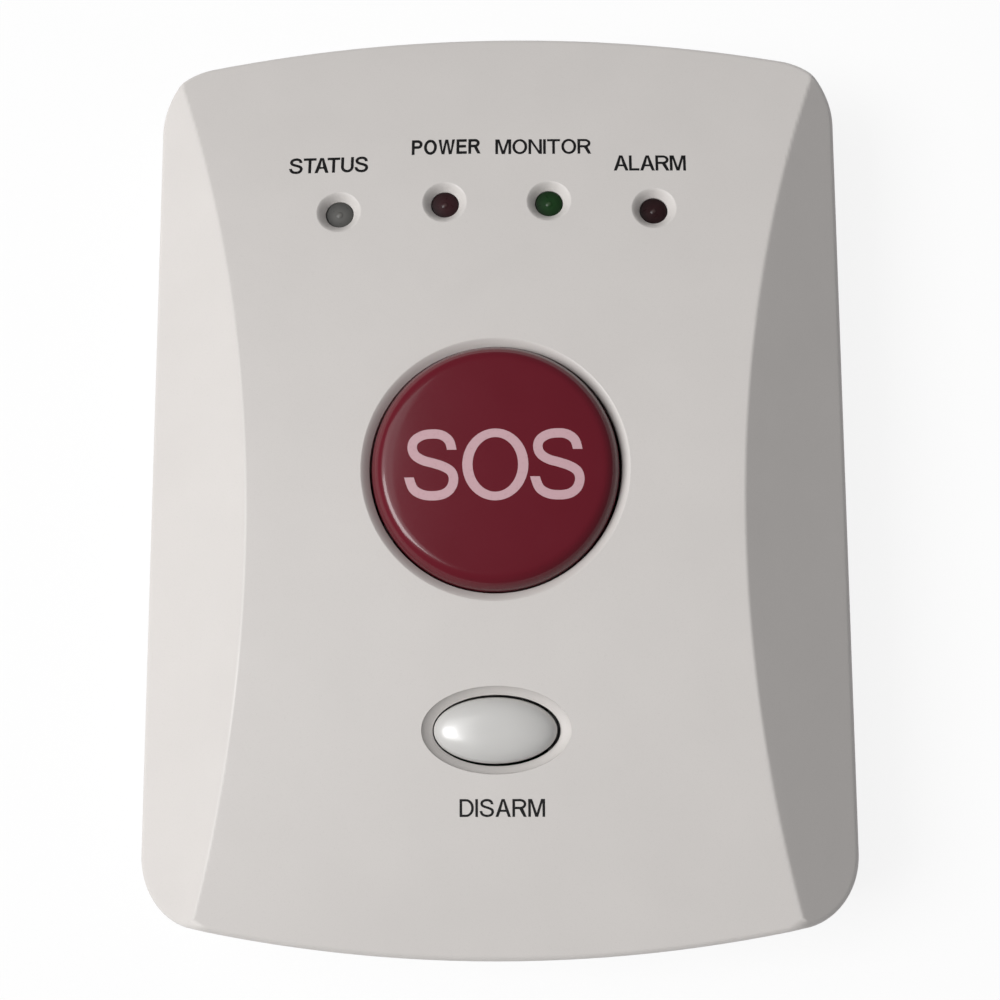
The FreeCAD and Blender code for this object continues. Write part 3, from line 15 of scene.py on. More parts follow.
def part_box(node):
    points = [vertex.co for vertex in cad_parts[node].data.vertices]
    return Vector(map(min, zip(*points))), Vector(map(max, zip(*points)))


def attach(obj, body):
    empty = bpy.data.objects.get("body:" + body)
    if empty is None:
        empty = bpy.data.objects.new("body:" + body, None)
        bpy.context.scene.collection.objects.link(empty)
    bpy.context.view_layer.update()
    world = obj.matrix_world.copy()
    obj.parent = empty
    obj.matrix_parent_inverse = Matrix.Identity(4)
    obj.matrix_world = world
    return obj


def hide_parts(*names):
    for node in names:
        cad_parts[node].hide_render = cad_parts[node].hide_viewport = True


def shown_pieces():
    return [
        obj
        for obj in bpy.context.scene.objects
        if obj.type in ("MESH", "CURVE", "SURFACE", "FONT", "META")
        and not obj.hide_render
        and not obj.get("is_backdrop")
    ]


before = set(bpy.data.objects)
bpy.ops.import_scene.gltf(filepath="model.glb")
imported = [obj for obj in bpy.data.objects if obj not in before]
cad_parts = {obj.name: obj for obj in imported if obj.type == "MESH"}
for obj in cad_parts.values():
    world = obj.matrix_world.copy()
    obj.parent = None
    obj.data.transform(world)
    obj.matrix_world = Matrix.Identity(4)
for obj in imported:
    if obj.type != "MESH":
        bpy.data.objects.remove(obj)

# Looks of a wireless panic button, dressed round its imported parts.
# Forms are drawn in millimetres and turned into metres when a mesh is made.
# X runs across the case, Y from the release button towards the lamps, Z out of the face.

MM = 0.001
REPORT = logging.getLogger("panic_button")

# Points that fall into the same cell of this many to the mm are one point.
CELLS_PER_MM = 2000
# Shading directions that differ by more than this make an edge sharp.
SHARP_FROM = 0.02
# Where the four lamps stand, from left to right.
LAMP_PLACES = ((-18.43, 31.2), (-5.93, 32.33), (6.41, 32.33), (18.75, 31.2))

Pair = tuple[float, float]
Colour = tuple[float, float, float]
Place = Callable[[float, float], Vector]
Loop = list[Pair]


# Shader graphs


@dataclass(frozen=True)
class Signal:
    """A value in a shader graph. Sums on it add Math nodes."""

    graph: "Graph"
    socket: bpy.types.NodeSocket

    def __add__(self, other: "Signal | float") -> "Signal":
        """Adds a signal or a number."""
        return self.graph.math("ADD", self, other)

    def __radd__(self, other: float) -> "Signal":
        """Adds this signal to a number."""
        return self.graph.math("ADD", other, self)

    def __sub__(self, other: "Signal | float") -> "Signal":
        """Takes a signal or a number away."""
        return self.graph.math("SUBTRACT", self, other)

    def __rsub__(self, other: float) -> "Signal":
        """Takes this signal away from a number."""
        return self.graph.math("SUBTRACT", other, self)

    def __mul__(self, other: "Signal | float") -> "Signal":
        """Multiplies by a signal or a number."""
        return self.graph.math("MULTIPLY", self, other)

    def __rmul__(self, other: float) -> "Signal":
        """Multiplies a number by this signal."""
        return self.graph.math("MULTIPLY", other, self)


class Graph:
    """The shader graph of one material, or of the sky."""

    def __init__(self, name: str, sky: bool = False) -> None:
        """Starts an empty graph.

        Args:
            name: name of the material or of the sky.
            sky: True for the sky.
        """
        self.owner = (bpy.data.worlds if sky else bpy.data.materials).new(name)
        self.owner.use_nodes = True
        self.tree = self.owner.node_tree
        self.tree.nodes.clear()

    def add(
        self,
        kind: str,
        settings: Mapping[str, Any] | None = None,
        sockets: Mapping[str | int, Any] | None = None,
    ) -> bpy.types.Node:
        """Adds one node.

        Args:
            kind: the node's type, without its "ShaderNode" prefix.
            settings: properties of the node, and "stops" for a ramp.
            sockets: values, signals or sockets for its inputs, by name or number.

        Returns:
            The new node.
        """
        node = self.tree.nodes.new("ShaderNode" + kind)
        for name, choice in (settings or {}).items():
            if name == "stops":
                self._set_stops(node, choice)
            else:
                setattr(node, name, choice)
        for name, given in (sockets or {}).items():
            source = given.socket if isinstance(given, Signal) else given
            if isinstance(source, bpy.types.NodeSocket):
                self.tree.links.new(source, node.inputs[name])
            else:
                node.inputs[name].default_value = source
        return node

    @staticmethod
    def _set_stops(node: bpy.types.Node, stops: Sequence[Pair]) -> None:
        """Sets a grey ramp's stops.

        Args:
            node: a ramp node, which has two stops when new.
            stops: place and level of each stop.
        """
        elements = node.color_ramp.elements
        while len(elements) < len(stops):
            elements.new(0.5)
        for element, (where, level) in zip(elements, stops):
            element.position = where
            element.color = (level, level, level, 1.0)

    def math(self, operation: str, first: Signal | float, second: Signal | float) -> Signal:
        """Works out a value from two others.

        Args:
            operation: the Math node's operation.
            first: a signal or number.
            second: a signal or number.

        Returns:
            The result as a signal.
        """
        node = self.add("Math", {"operation": operation}, {0: first, 1: second})
        return Signal(self, node.outputs[0])

    def ramp(self, source: Signal, stops: Sequence[Pair]) -> Signal:
        """Shapes a signal by a ramp with the given stops."""
        node = self.add("ValToRGB", {"stops": stops}, {"Fac": source})
        return Signal(self, node.outputs["Color"])

    def coordinates(self, stretch: Sequence[float] = (1.0, 1.0, 1.0)) -> bpy.types.NodeSocket:
        """Gives the piece's own coordinates in metres, stretched along the axes."""
        source = self.add("TexCoord").outputs["Object"]
        node = self.add("VectorMath", {"operation": "MULTIPLY"}, {0: source, 1: tuple(stretch)})
        return node.outputs[0]

    def noise(
        self,
        size_mm: float,
        detail: float = 2.0,
        stretch: Sequence[float] = (1.0, 1.0, 1.0),
    ) -> Signal:
        """Makes cloudy noise in the piece's own space.

        Args:
            size_mm: rough size of its blotches, in mm.
            detail: how many finer layers it has.
            stretch: factors along the axes; a small one draws the noise out.

        Returns:
            Values round 0.5.
        """
        sockets = {"Vector": self.coordinates(stretch), "Scale": 1.0 / (size_mm * MM), "Detail": detail}
        node = self.add("TexNoise", {"noise_dimensions": "3D"}, sockets)
        return Signal(self, node.outputs["Fac"])

    def cells(self, size_mm: float) -> Signal:
        """Gives the distance to the nearest of random points that lie size_mm apart."""
        sockets = {"Vector": self.coordinates(), "Scale": 1.0 / (size_mm * MM)}
        node = self.add("TexVoronoi", {"feature": "F1"}, sockets)
        return Signal(self, node.outputs["Distance"])

    def distance_from(self, middle_mm: Pair) -> Signal:
        """Gives the distance from an upright line, in metres.

        Args:
            middle_mm: where the line stands, in mm.

        Returns:
            The distance.
        """
        middle = (middle_mm[0] * MM, middle_mm[1] * MM, 0.0)
        flat = self.coordinates((1.0, 1.0, 0.0))
        node = self.add("VectorMath", {"operation": "DISTANCE"}, {0: flat, 1: middle})
        return Signal(self, node.outputs["Value"])

    def blend(
        self,
        factor: Signal,
        first: "Colour | bpy.types.NodeSocket",
        second: "Colour | bpy.types.NodeSocket",
    ) -> bpy.types.NodeSocket:
        """Mixes two colours.

        Args:
            factor: 0 for the first colour, 1 for the second.
            first: a colour or a colour socket.
            second: a colour or a colour socket.

        Returns:
            The socket that holds the mixed colour.
        """
        sockets = {0: factor}
        for number, colour in ((6, first), (7, second)):
            sockets[number] = colour if isinstance(colour, bpy.types.NodeSocket) else (*colour, 1.0)
        return self.add("Mix", {"data_type": "RGBA"}, sockets).outputs[2]

    def relief(self, height: Signal, depth_mm: float) -> bpy.types.NodeSocket:
        """Turns a height signal into a surface direction, for a relief of depth_mm."""
        node = self.add("Bump", {}, {"Height": height, "Distance": depth_mm * MM, "Strength": 1.0})
        return node.outputs["Normal"]

    def surface(self, sockets: Mapping[str, Any]) -> bpy.types.Material:
        """Ends the graph in a Principled shader.

        Args:
            sockets: its values and links.

        Returns:
            The finished material.
        """
        shader = self.add("BsdfPrincipled", {}, sockets)
        self.add("OutputMaterial", {}, {"Surface": shader.outputs["BSDF"]})
        return self.owner


def shade(colour: Colour, factor: float) -> Colour:
    """Makes a colour lighter or darker by a factor."""
    return (colour[0] * factor, colour[1] * factor, colour[2] * factor)


# Finishes


@dataclass(frozen=True)
class Moulded:
    """Moulded plastic: a finely eroded skin, with flow clouds and faint handling marks."""

    name: str
    colour: Colour
    roughness: float
    grain_mm: float = 0.16
    relief_mm: float = 0.006
    clouds: float = 0.03

    def material(self) -> bpy.types.Material:
        """Makes the material."""
        graph = Graph(self.name)
        cloud = graph.noise(9.0, 3.0)
        grain = graph.noise(self.grain_mm, 2.0)
        pits = graph.ramp(graph.cells(self.grain_mm * 2.2), ((0.1, 0.0), (0.6, 1.0)))
        rubbed = graph.ramp(graph.noise(14.0, 4.0), ((0.48, 0.0), (0.68, 1.0)))
        deep, pale = shade(self.colour, 1.0 - self.clouds), shade(self.colour, 1.0 + self.clouds)
        tone = graph.blend(cloud, deep, pale)
        speck = graph.ramp(grain, ((0.3, 1.0), (0.42, 0.0)))
        colour = graph.blend(speck * 0.35, tone, shade(self.colour, 0.9))
        return graph.surface({
            "Base Color": colour,
            "Roughness": self.roughness + 0.06 * cloud - 0.07 * rubbed,
            "Normal": graph.relief(grain * 0.6 + pits * 0.4, self.relief_mm),
        })


@dataclass(frozen=True)
class Polished:
    """Gloss-moulded plastic: a little orange peel, faint wiping marks and a clear skin."""

    name: str
    colour: Colour
    roughness: float
    edge: Colour | None = None
    peel_mm: float = 0.003
    coat: float = 0.4
    coat_roughness: float = 0.08
    sheen: float = 0.2

    def material(self) -> bpy.types.Material:
        """Makes the material."""
        graph = Graph(self.name)
        cloud = graph.noise(7.0, 2.0)
        peel = graph.noise(1.6, 1.0)
        wipes = graph.ramp(graph.noise(1.4, 3.0, (1.0, 0.4, 1.0)), ((0.55, 0.0), (0.8, 1.0)))
        deep = self.edge or shade(self.colour, 0.85)
        return graph.surface({
            "Base Color": graph.blend(cloud, deep, self.colour),
            "Roughness": self.roughness + 0.05 * cloud + 0.03 * wipes,
            "Specular IOR Level": self.sheen,
            "Coat Weight": self.coat,
            "Coat Roughness": self.coat_roughness,
            "Normal": graph.relief(peel, self.peel_mm),
        })


@dataclass(frozen=True)
class Ink:
    """Pad-printed ink: nearly even, with a thin film's pinholes."""

    name: str
    colour: Colour
    under: Colour

    def material(self) -> bpy.types.Material:
        """Makes the material."""
        graph = Graph(self.name)
        thin = graph.ramp(graph.noise(0.35, 3.0), ((0.56, 0.0), (0.72, 1.0)))
        film = graph.noise(0.2, 2.0)
        return graph.surface({
            "Base Color": graph.blend(thin * 0.3, self.colour, self.under),
            "Roughness": 0.5 + 0.12 * film,
            "Specular IOR Level": 0.25,
            "Normal": graph.relief(film, 0.002),
        })


@dataclass(frozen=True)
class LampResin:
    """Tinted resin of an unlit lamp, with painted shade towards its rim and a painted highlight in the
    middle.
    """

    name: str
    colour: Colour
    middle_mm: Pair
    radius_mm: float = 1.6

    def material(self) -> bpy.types.Material:
        """Makes the material."""
        graph = Graph(self.name)
        share = graph.distance_from(self.middle_mm) * (1.0 / (self.radius_mm * MM))
        # Painted shade: the resin is lighter in the middle and darker towards its rim.
        rim_shade = graph.ramp(share, ((0.4, 0.0), (0.84, 1.0)))
        # Painted highlight: a small bright spot in the middle of the lens.
        centre_glint = graph.ramp(share, ((0.05, 1.0), (0.2, 0.0)))
        streaks = graph.noise(0.6, 2.0)
        # Lighter and darker copies of the resin colour, mixed by the painted rim shade.
        body = graph.blend(rim_shade, shade(self.colour, 1.15), shade(self.colour, 0.7))
        # The paler colour of the painted highlight.
        glint_colour = tuple(glint + part * 1.6 for glint, part in zip((0.05, 0.045, 0.04), self.colour))
        return graph.surface({
            "Base Color": graph.blend(centre_glint * 0.5 + streaks * 0.1, body, glint_colour),
            "Roughness": 0.24 + 0.1 * streaks,
            "Specular IOR Level": 0.22,
            "Normal": graph.relief(streaks, 0.004),
        })


@dataclass(frozen=True)
class Rubber:
    """Matt rubber: a dusty, finely pored skin."""

    name: str
    colour: Colour
    pores_mm: float = 0.3
    depth_mm: float = 0.03

    def material(self) -> bpy.types.Material:
        """Makes the material."""
        graph = Graph(self.name)
        dust = graph.ramp(graph.noise(3.0, 4.0), ((0.45, 0.0), (0.75, 1.0)))
        pores = graph.cells(self.pores_mm)
        return graph.surface({
            "Base Color": graph.blend(dust * 0.25, self.colour, shade(self.colour, 2.6)),
            "Roughness": 0.78 + 0.12 * dust,
            "Normal": graph.relief(pores, self.depth_mm),
        })


@dataclass(frozen=True)
class Metal:
    """Plated or tinned metal: fine drawing lines along one way and duller patches."""

    name: str
    colour: Colour
    roughness: float
    lines: tuple[float, float, float] = (1.0, 0.08, 1.0)

    def material(self) -> bpy.types.Material:
        """Makes the material."""
        graph = Graph(self.name)
        drawn = graph.noise(0.12, 3.0, self.lines)
        dull = graph.ramp(graph.noise(2.5, 3.0), ((0.45, 0.0), (0.7, 1.0)))
        return graph.surface({
            "Base Color": graph.blend(dull * 0.5, self.colour, shade(self.colour, 0.72)),
            "Metallic": 1.0,
            "Roughness": self.roughness + 0.18 * dull + 0.08 * drawn,
            "Normal": graph.relief(drawn, 0.004),
        })


@dataclass(frozen=True)
class Laminate:
    """Circuit board: solder resist over woven glass, with copper runs that shine through."""

    name: str
    colour: Colour
    copper: Colour

    def material(self) -> bpy.types.Material:
        """Makes the material."""
        graph = Graph(self.name)
        weave = graph.noise(0.5, 1.0, (1.0, 0.3, 1.0)) * 0.5 + graph.noise(0.5, 1.0, (0.3, 1.0, 1.0)) * 0.5
        runs = graph.add("TexBrick", {"offset": 0.5}, {
            "Vector": graph.coordinates(),
            "Scale": 160.0,
            "Mortar Size": 0.05,
            "Color1": (0.0, 0.0, 0.0, 1.0),
            "Color2": (0.0, 0.0, 0.0, 1.0),
            "Mortar": (1.0, 1.0, 1.0, 1.0),
        })
        traced = Signal(graph, runs.outputs["Fac"])
        mask = graph.blend(weave, shade(self.colour, 0.8), shade(self.colour, 1.3))
        return graph.surface({
            "Base Color": graph.blend(traced * 0.45, mask, self.copper),
            "Roughness": 0.34 + 0.15 * weave,
            "Normal": graph.relief(weave * 0.4 + traced * 0.6, 0.02),
        })


class Stock(Enum):
    """The finishes, one for each of the record's material slots, and the printing inks."""

    HOUSING = Moulded("housing_plastic", (0.63, 0.601, 0.577), 0.46)
    CALL_RED = Polished("call_button_red", (0.132, 0.0078, 0.0178), 0.22, (0.116, 0.0062, 0.0135))
    RELEASE_WHITE = Polished(
        "release_button_white", (0.64, 0.63, 0.61), 0.3, coat=0.8, coat_roughness=0.2, sheen=0.5
    )
    RUBBER = Rubber("foot_rubber", (0.022, 0.022, 0.023))
    STEEL = Metal("screw_steel", (0.58, 0.58, 0.6), 0.32)
    BOARD = Laminate("board_laminate", (0.012, 0.09, 0.035), (0.05, 0.2, 0.07))
    BLACK = Moulded("black_plastic", (0.018, 0.018, 0.02), 0.5, 0.12, 0.008)
    PLUG = Moulded("plug_nylon", (0.6, 0.57, 0.48), 0.5, 0.2, 0.004)
    SHIELD = Metal("shield_tin", (0.72, 0.72, 0.7), 0.28)
    CAN = Metal("coil_can", (0.68, 0.69, 0.7), 0.36, (0.08, 1.0, 1.0))
    SLEEVE = Polished("battery_sleeve", (0.05, 0.075, 0.11), 0.3, (0.04, 0.06, 0.09), 0.02, 0.3)
    SHEATH = Moulded("lead_sheath", (0.07, 0.01, 0.01), 0.42, 0.1, 0.003)
    FOAM = Rubber("seal_foam", (0.02, 0.02, 0.021), 0.5, 0.15)
    BASKET = Metal("speaker_basket", (0.05, 0.05, 0.055), 0.45)
    LEGEND_BLACK = Ink("legend_black", (0.004, 0.004, 0.0045), (0.02, 0.02, 0.02))
    LEGEND_PINK = Ink("legend_pink", (0.56, 0.36, 0.39), (0.42, 0.22, 0.25))


class Finisher:
    """Hands out each finish's material, made once."""

    def __init__(self) -> None:
        """Starts with nothing made."""
        self._made: dict[str, bpy.types.Material] = {}

    def of(self, finish: Any) -> bpy.types.Material:
        """Gives a finish's material.

        Args:
            finish: a Stock member or a finish of its own.

        Returns:
            Its material.
        """
        recipe = finish.value if isinstance(finish, Stock) else finish
        if recipe.name not in self._made:
            self._made[recipe.name] = recipe.material()
        return self._made[recipe.name]


FINISHES = Finisher()


# Drawing of meshes


def normal_of(place: Place, across: float, along: float, reach: float = 1e-3) -> Vector:
    """Finds which way a surface faces.

    Args:
        place: the surface as a function of two values.
        across: the first value.
        along: the second value.
        reach: how far from them the surface is tried.

    Returns:
        A unit direction, which is that of a place close by where the surface comes to a point.
    """
    one = place(across + reach, along) - place(across - reach, along)
    two = place(across, along + reach) - place(across, along - reach)
    facing = one.cross(two)
    if facing.length < 1e-9:
        return normal_of(place, across, along + 4 * reach, reach)
    return facing.normalized()


def inside_loops(points: np.ndarray, loops: Iterable[Loop]) -> np.ndarray:
    """Tells which points lie inside an odd number of loops.

    Args:
        points: one point in each row.
        loops: closed loops, the first point not repeated.

    Returns:
        True for each point that is inside.
    """
    inside = np.zeros(len(points), bool)
    x, y = points[:, 0], points[:, 1]
    for loop in loops:
        ends = np.array(loop)
        for (x1, y1), (x2, y2) in zip(ends, np.roll(ends, -1, axis=0)):
            if y1 != y2:
                crossed = (y1 > y) != (y2 > y)
                inside ^= crossed & (x < (x2 - x1) * (y - y1) / (y2 - y1) + x1)
    return inside


def clear_of(points: np.ndarray, loops: Iterable[Loop], gap: float) -> np.ndarray:
    """Tells which points keep a gap from every point of the loops."""
    free = np.ones(len(points), bool)
    for loop in loops:
        for corner in loop:
            free &= np.hypot(points[:, 0] - corner[0], points[:, 1] - corner[1]) > gap
    return free


class Draft:
    """A mesh in the making: welded points in mm, faces, and the shading direction of each corner."""

    def __init__(self) -> None:
        """Starts an empty mesh."""
        self.points: list[Vector] = []
        self.faces: list[tuple[int, ...]] = []
        self.shades: list[tuple[Vector, ...]] = []
        self._places: dict[tuple[int, int, int], int] = {}

    def _number(self, point: Vector) -> int:
        """Gives the number of a point, which is shared where points meet."""
        key = tuple(round(value * CELLS_PER_MM) for value in point)
        if key not in self._places:
            self._places[key] = len(self.points)
            self.points.append(point)
        return self._places[key]

    def add(self, corners: Sequence[Vector], shades: Sequence[Vector]) -> None:
        """Adds a face, and leaves out corners that fall together.

        Args:
            corners: its points, anticlockwise from outside.
            shades: the shading direction at each.
        """
        numbers, kept = [], []
        for corner, facing in zip(corners, shades):
            number = self._number(corner)
            if number not in numbers:
                numbers.append(number)
                kept.append(facing)
        if len(numbers) > 2:
            self.faces.append(tuple(numbers))
            self.shades.append(tuple(kept))

    def patch(
        self,
        place: Place,
        across: Sequence[float],
        along: Sequence[float],
        flip: bool = False,
    ) -> None:
        """Adds a net of four-sided faces over a surface.

        Args:
            place: the surface as a function of two values.
            across: the first values, in order.
            along: the second values, in order.
            flip: True where the surface's own direction points inwards.
        """
        sign = -1.0 if flip else 1.0
        net = [[(place(u, v), normal_of(place, u, v) * sign) for v in along] for u in across]
        for here, there in zip(net, net[1:]):
            for number in range(len(along) - 1):
                ring = [here[number], there[number], there[number + 1], here[number + 1]]
                if flip:
                    ring.reverse()
                self.add([corner[0] for corner in ring], [corner[1] for corner in ring])

    def region(
        self,
        place: Place,
        loops: Sequence[Loop],
        inner: Iterable[Pair],
        flip: bool = False,
    ) -> None:
        """Adds three-sided faces over the part of a surface between loops.

        Args:
            place: the surface as a function of two values.
            loops: the outer loop and the holes' loops, in those values.
            inner: further points of the surface, in those values.
            flip: True where the surface's own direction points inwards.
        """
        flat: list[Vector] = []
        edges: list[tuple[int, int]] = []
        for loop in loops:
            first = len(flat)
            flat += [Vector(corner) for corner in loop]
            edges += [(first + n, first + (n + 1) % len(loop)) for n in range(len(loop))]
        flat += [Vector(corner) for corner in inner]
        made = delaunay_2d_cdt(flat, edges, [], 0, 1e-7)
        corners, triangles = made[0], made[2]
        middles = np.array([sum((corners[n] for n in face), Vector((0.0, 0.0))) / 3 for face in triangles])
        kept = inside_loops(middles, loops)
        placed = [place(*corner) for corner in corners]
        facing = [normal_of(place, *corner) * (-1.0 if flip else 1.0) for corner in corners]
        for face, keep in zip(triangles, kept):
            if keep:
                ring = face[::-1] if flip else face
                self.add([placed[n] for n in ring], [facing[n] for n in ring])

    def box(self, low: Sequence[float], high: Sequence[float]) -> None:
        """Adds a closed box with flat sides between two corners."""
        pairs = [(low[axis], high[axis]) for axis in range(3)]
        for axis in range(3):
            one, two = (axis + 1) % 3, (axis + 2) % 3
            for end in (0, 1):
                ring = []
                for a, b in ((0, 0), (1, 0), (1, 1), (0, 1)):
                    corner = [0.0, 0.0, 0.0]
                    corner[axis], corner[one], corner[two] = pairs[axis][end], pairs[one][a], pairs[two][b]
                    ring.append(Vector(corner))
                facing = Vector((0.0, 0.0, 0.0))
                facing[axis] = 1.0 if end else -1.0
                self.add(ring if end else ring[::-1], [facing] * 4)

    def thicken(self, wall: float) -> None:
        """Gives an open skin a wall and closes its rims.

        Args:
            wall: thickness, measured inwards.
        """
        sums = [Vector((0.0, 0.0, 0.0)) for _ in self.points]
        for face, facing in zip(self.faces, self.shades):
            for number, direction in zip(face, facing):
                sums[number] += direction
        inner = [point - total.normalized() * wall for point, total in zip(self.points, sums)]
        edges = Counter(pair for face in self.faces for pair in zip(face, face[1:] + face[:1]))
        outer_faces = list(zip(self.faces, self.shades))
        first = len(self.points)
        self.points += inner
        for face, facing in outer_faces:
            self.faces.append(tuple(first + number for number in reversed(face)))
            self.shades.append(tuple(-direction for direction in reversed(facing)))
        for one, two in edges:
            if (two, one) not in edges:
                ring = (two, one, first + one, first + two)
                spots = [self.points[number] for number in ring]
                facing = (spots[1] - spots[0]).cross(spots[2] - spots[1]).normalized()
                self.faces.append(ring)
                self.shades.append((facing,) * 4)

    def _creases(self, mesh: bpy.types.Mesh) -> list[bool]:
        """Tells which edges part two shading directions.

        Args:
            mesh: the mesh made from this drawing.

        Returns:
            True for each edge that is sharp.
        """
        seen: dict[tuple[int, int], tuple[Vector, Vector]] = {}
        sharp: set[tuple[int, int]] = set()
        for face, facing in zip(self.faces, self.shades):
            for number, one in enumerate(face):
                after = (number + 1) % len(face)
                two = face[after]
                key = (min(one, two), max(one, two))
                pair = (facing[number], facing[after]) if one < two else (facing[after], facing[number])
                if key not in seen:
                    seen[key] = pair
                elif any((mine - theirs).length > SHARP_FROM for mine, theirs in zip(seen[key], pair)):
                    sharp.add(key)
        return [(min(edge.vertices), max(edge.vertices)) in sharp for edge in mesh.edges]

    def build(self, name: str, finish: Any) -> bpy.types.Object:
        """Turns the drawing into an object in metres.

        Args:
            name: name of the object.
            finish: its finish.

        Returns:
            The object, linked to the scene.
        """
        mesh = bpy.data.meshes.new(name)
        mesh.from_pydata([tuple(point * MM) for point in self.points], [], self.faces)
        mesh.polygons.foreach_set("use_smooth", [True] * len(mesh.polygons))
        mesh.edges.foreach_set("use_edge_sharp", self._creases(mesh))
        mesh.normals_split_custom_set([tuple(direction) for facing in self.shades for direction in facing])
        mesh.materials.append(FINISHES.of(finish))
        made = bpy.data.objects.new(name, mesh)
        bpy.context.scene.collection.objects.link(made)
        return made


def spread(start: float, end: float, step: float) -> list[float]:
    """Divides a run into even steps of at most the given size, both ends included."""
    count = max(1, math.ceil(abs(end - start) / step))
    return [start + (end - start) * number / count for number in range(count + 1)]


def turns(count: int) -> list[float]:
    """Gives count even steps round a full turn, the start repeated at the end."""
    return [2 * math.pi * number / count for number in range(count + 1)]


def oval_point(middle: Pair, axes: Pair, angle: float) -> Pair:
    """Gives a point of an oval."""
    return middle[0] + axes[0] * math.cos(angle), middle[1] + axes[1] * math.sin(angle)


def turned(draft: Draft, profile: Sequence[Sequence[Pair]], middle: Pair, count: int) -> None:
    """Adds surfaces of revolution round an upright axis.

    Args:
        draft: the mesh that they go into.
        profile: runs of (radius, level), each smooth in itself, from the top middle outwards and down.
        middle: place of the axis.
        count: sides round the turn.
    """
    def around(centre: Pair, angle: float, radius: float, level: float) -> Vector:
        """Gives a point at a radius and a level round an upright axis."""
        return Vector((*oval_point(centre, (radius, radius), angle), level))

    for run in profile:
        facing = run_directions(run)
        net = turns(count)
        for one, two in zip(net, net[1:]):
            for step in range(len(run) - 1):
                ring = [(one, step), (one, step + 1), (two, step + 1), (two, step)]
                corners = [around(middle, angle, *run[number]) for angle, number in ring]
                draft.add(corners, [around((0.0, 0.0), angle, *facing[number]) for angle, number in ring])


def run_directions(run: Sequence[Pair]) -> list[Pair]:
    """Finds the outward direction at each point of a profile run.

    Args:
        run: points (radius, level), outwards and down.

    Returns:
        A unit (radial, upward) direction for each point.
    """
    found = []
    for number in range(len(run)):
        before, after = run[max(number - 1, 0)], run[min(number + 1, len(run) - 1)]
        radial, rise = after[0] - before[0], after[1] - before[1]
        length = math.hypot(radial, rise)
        found.append((-rise / length, radial / length))
    return found


# The case's own form


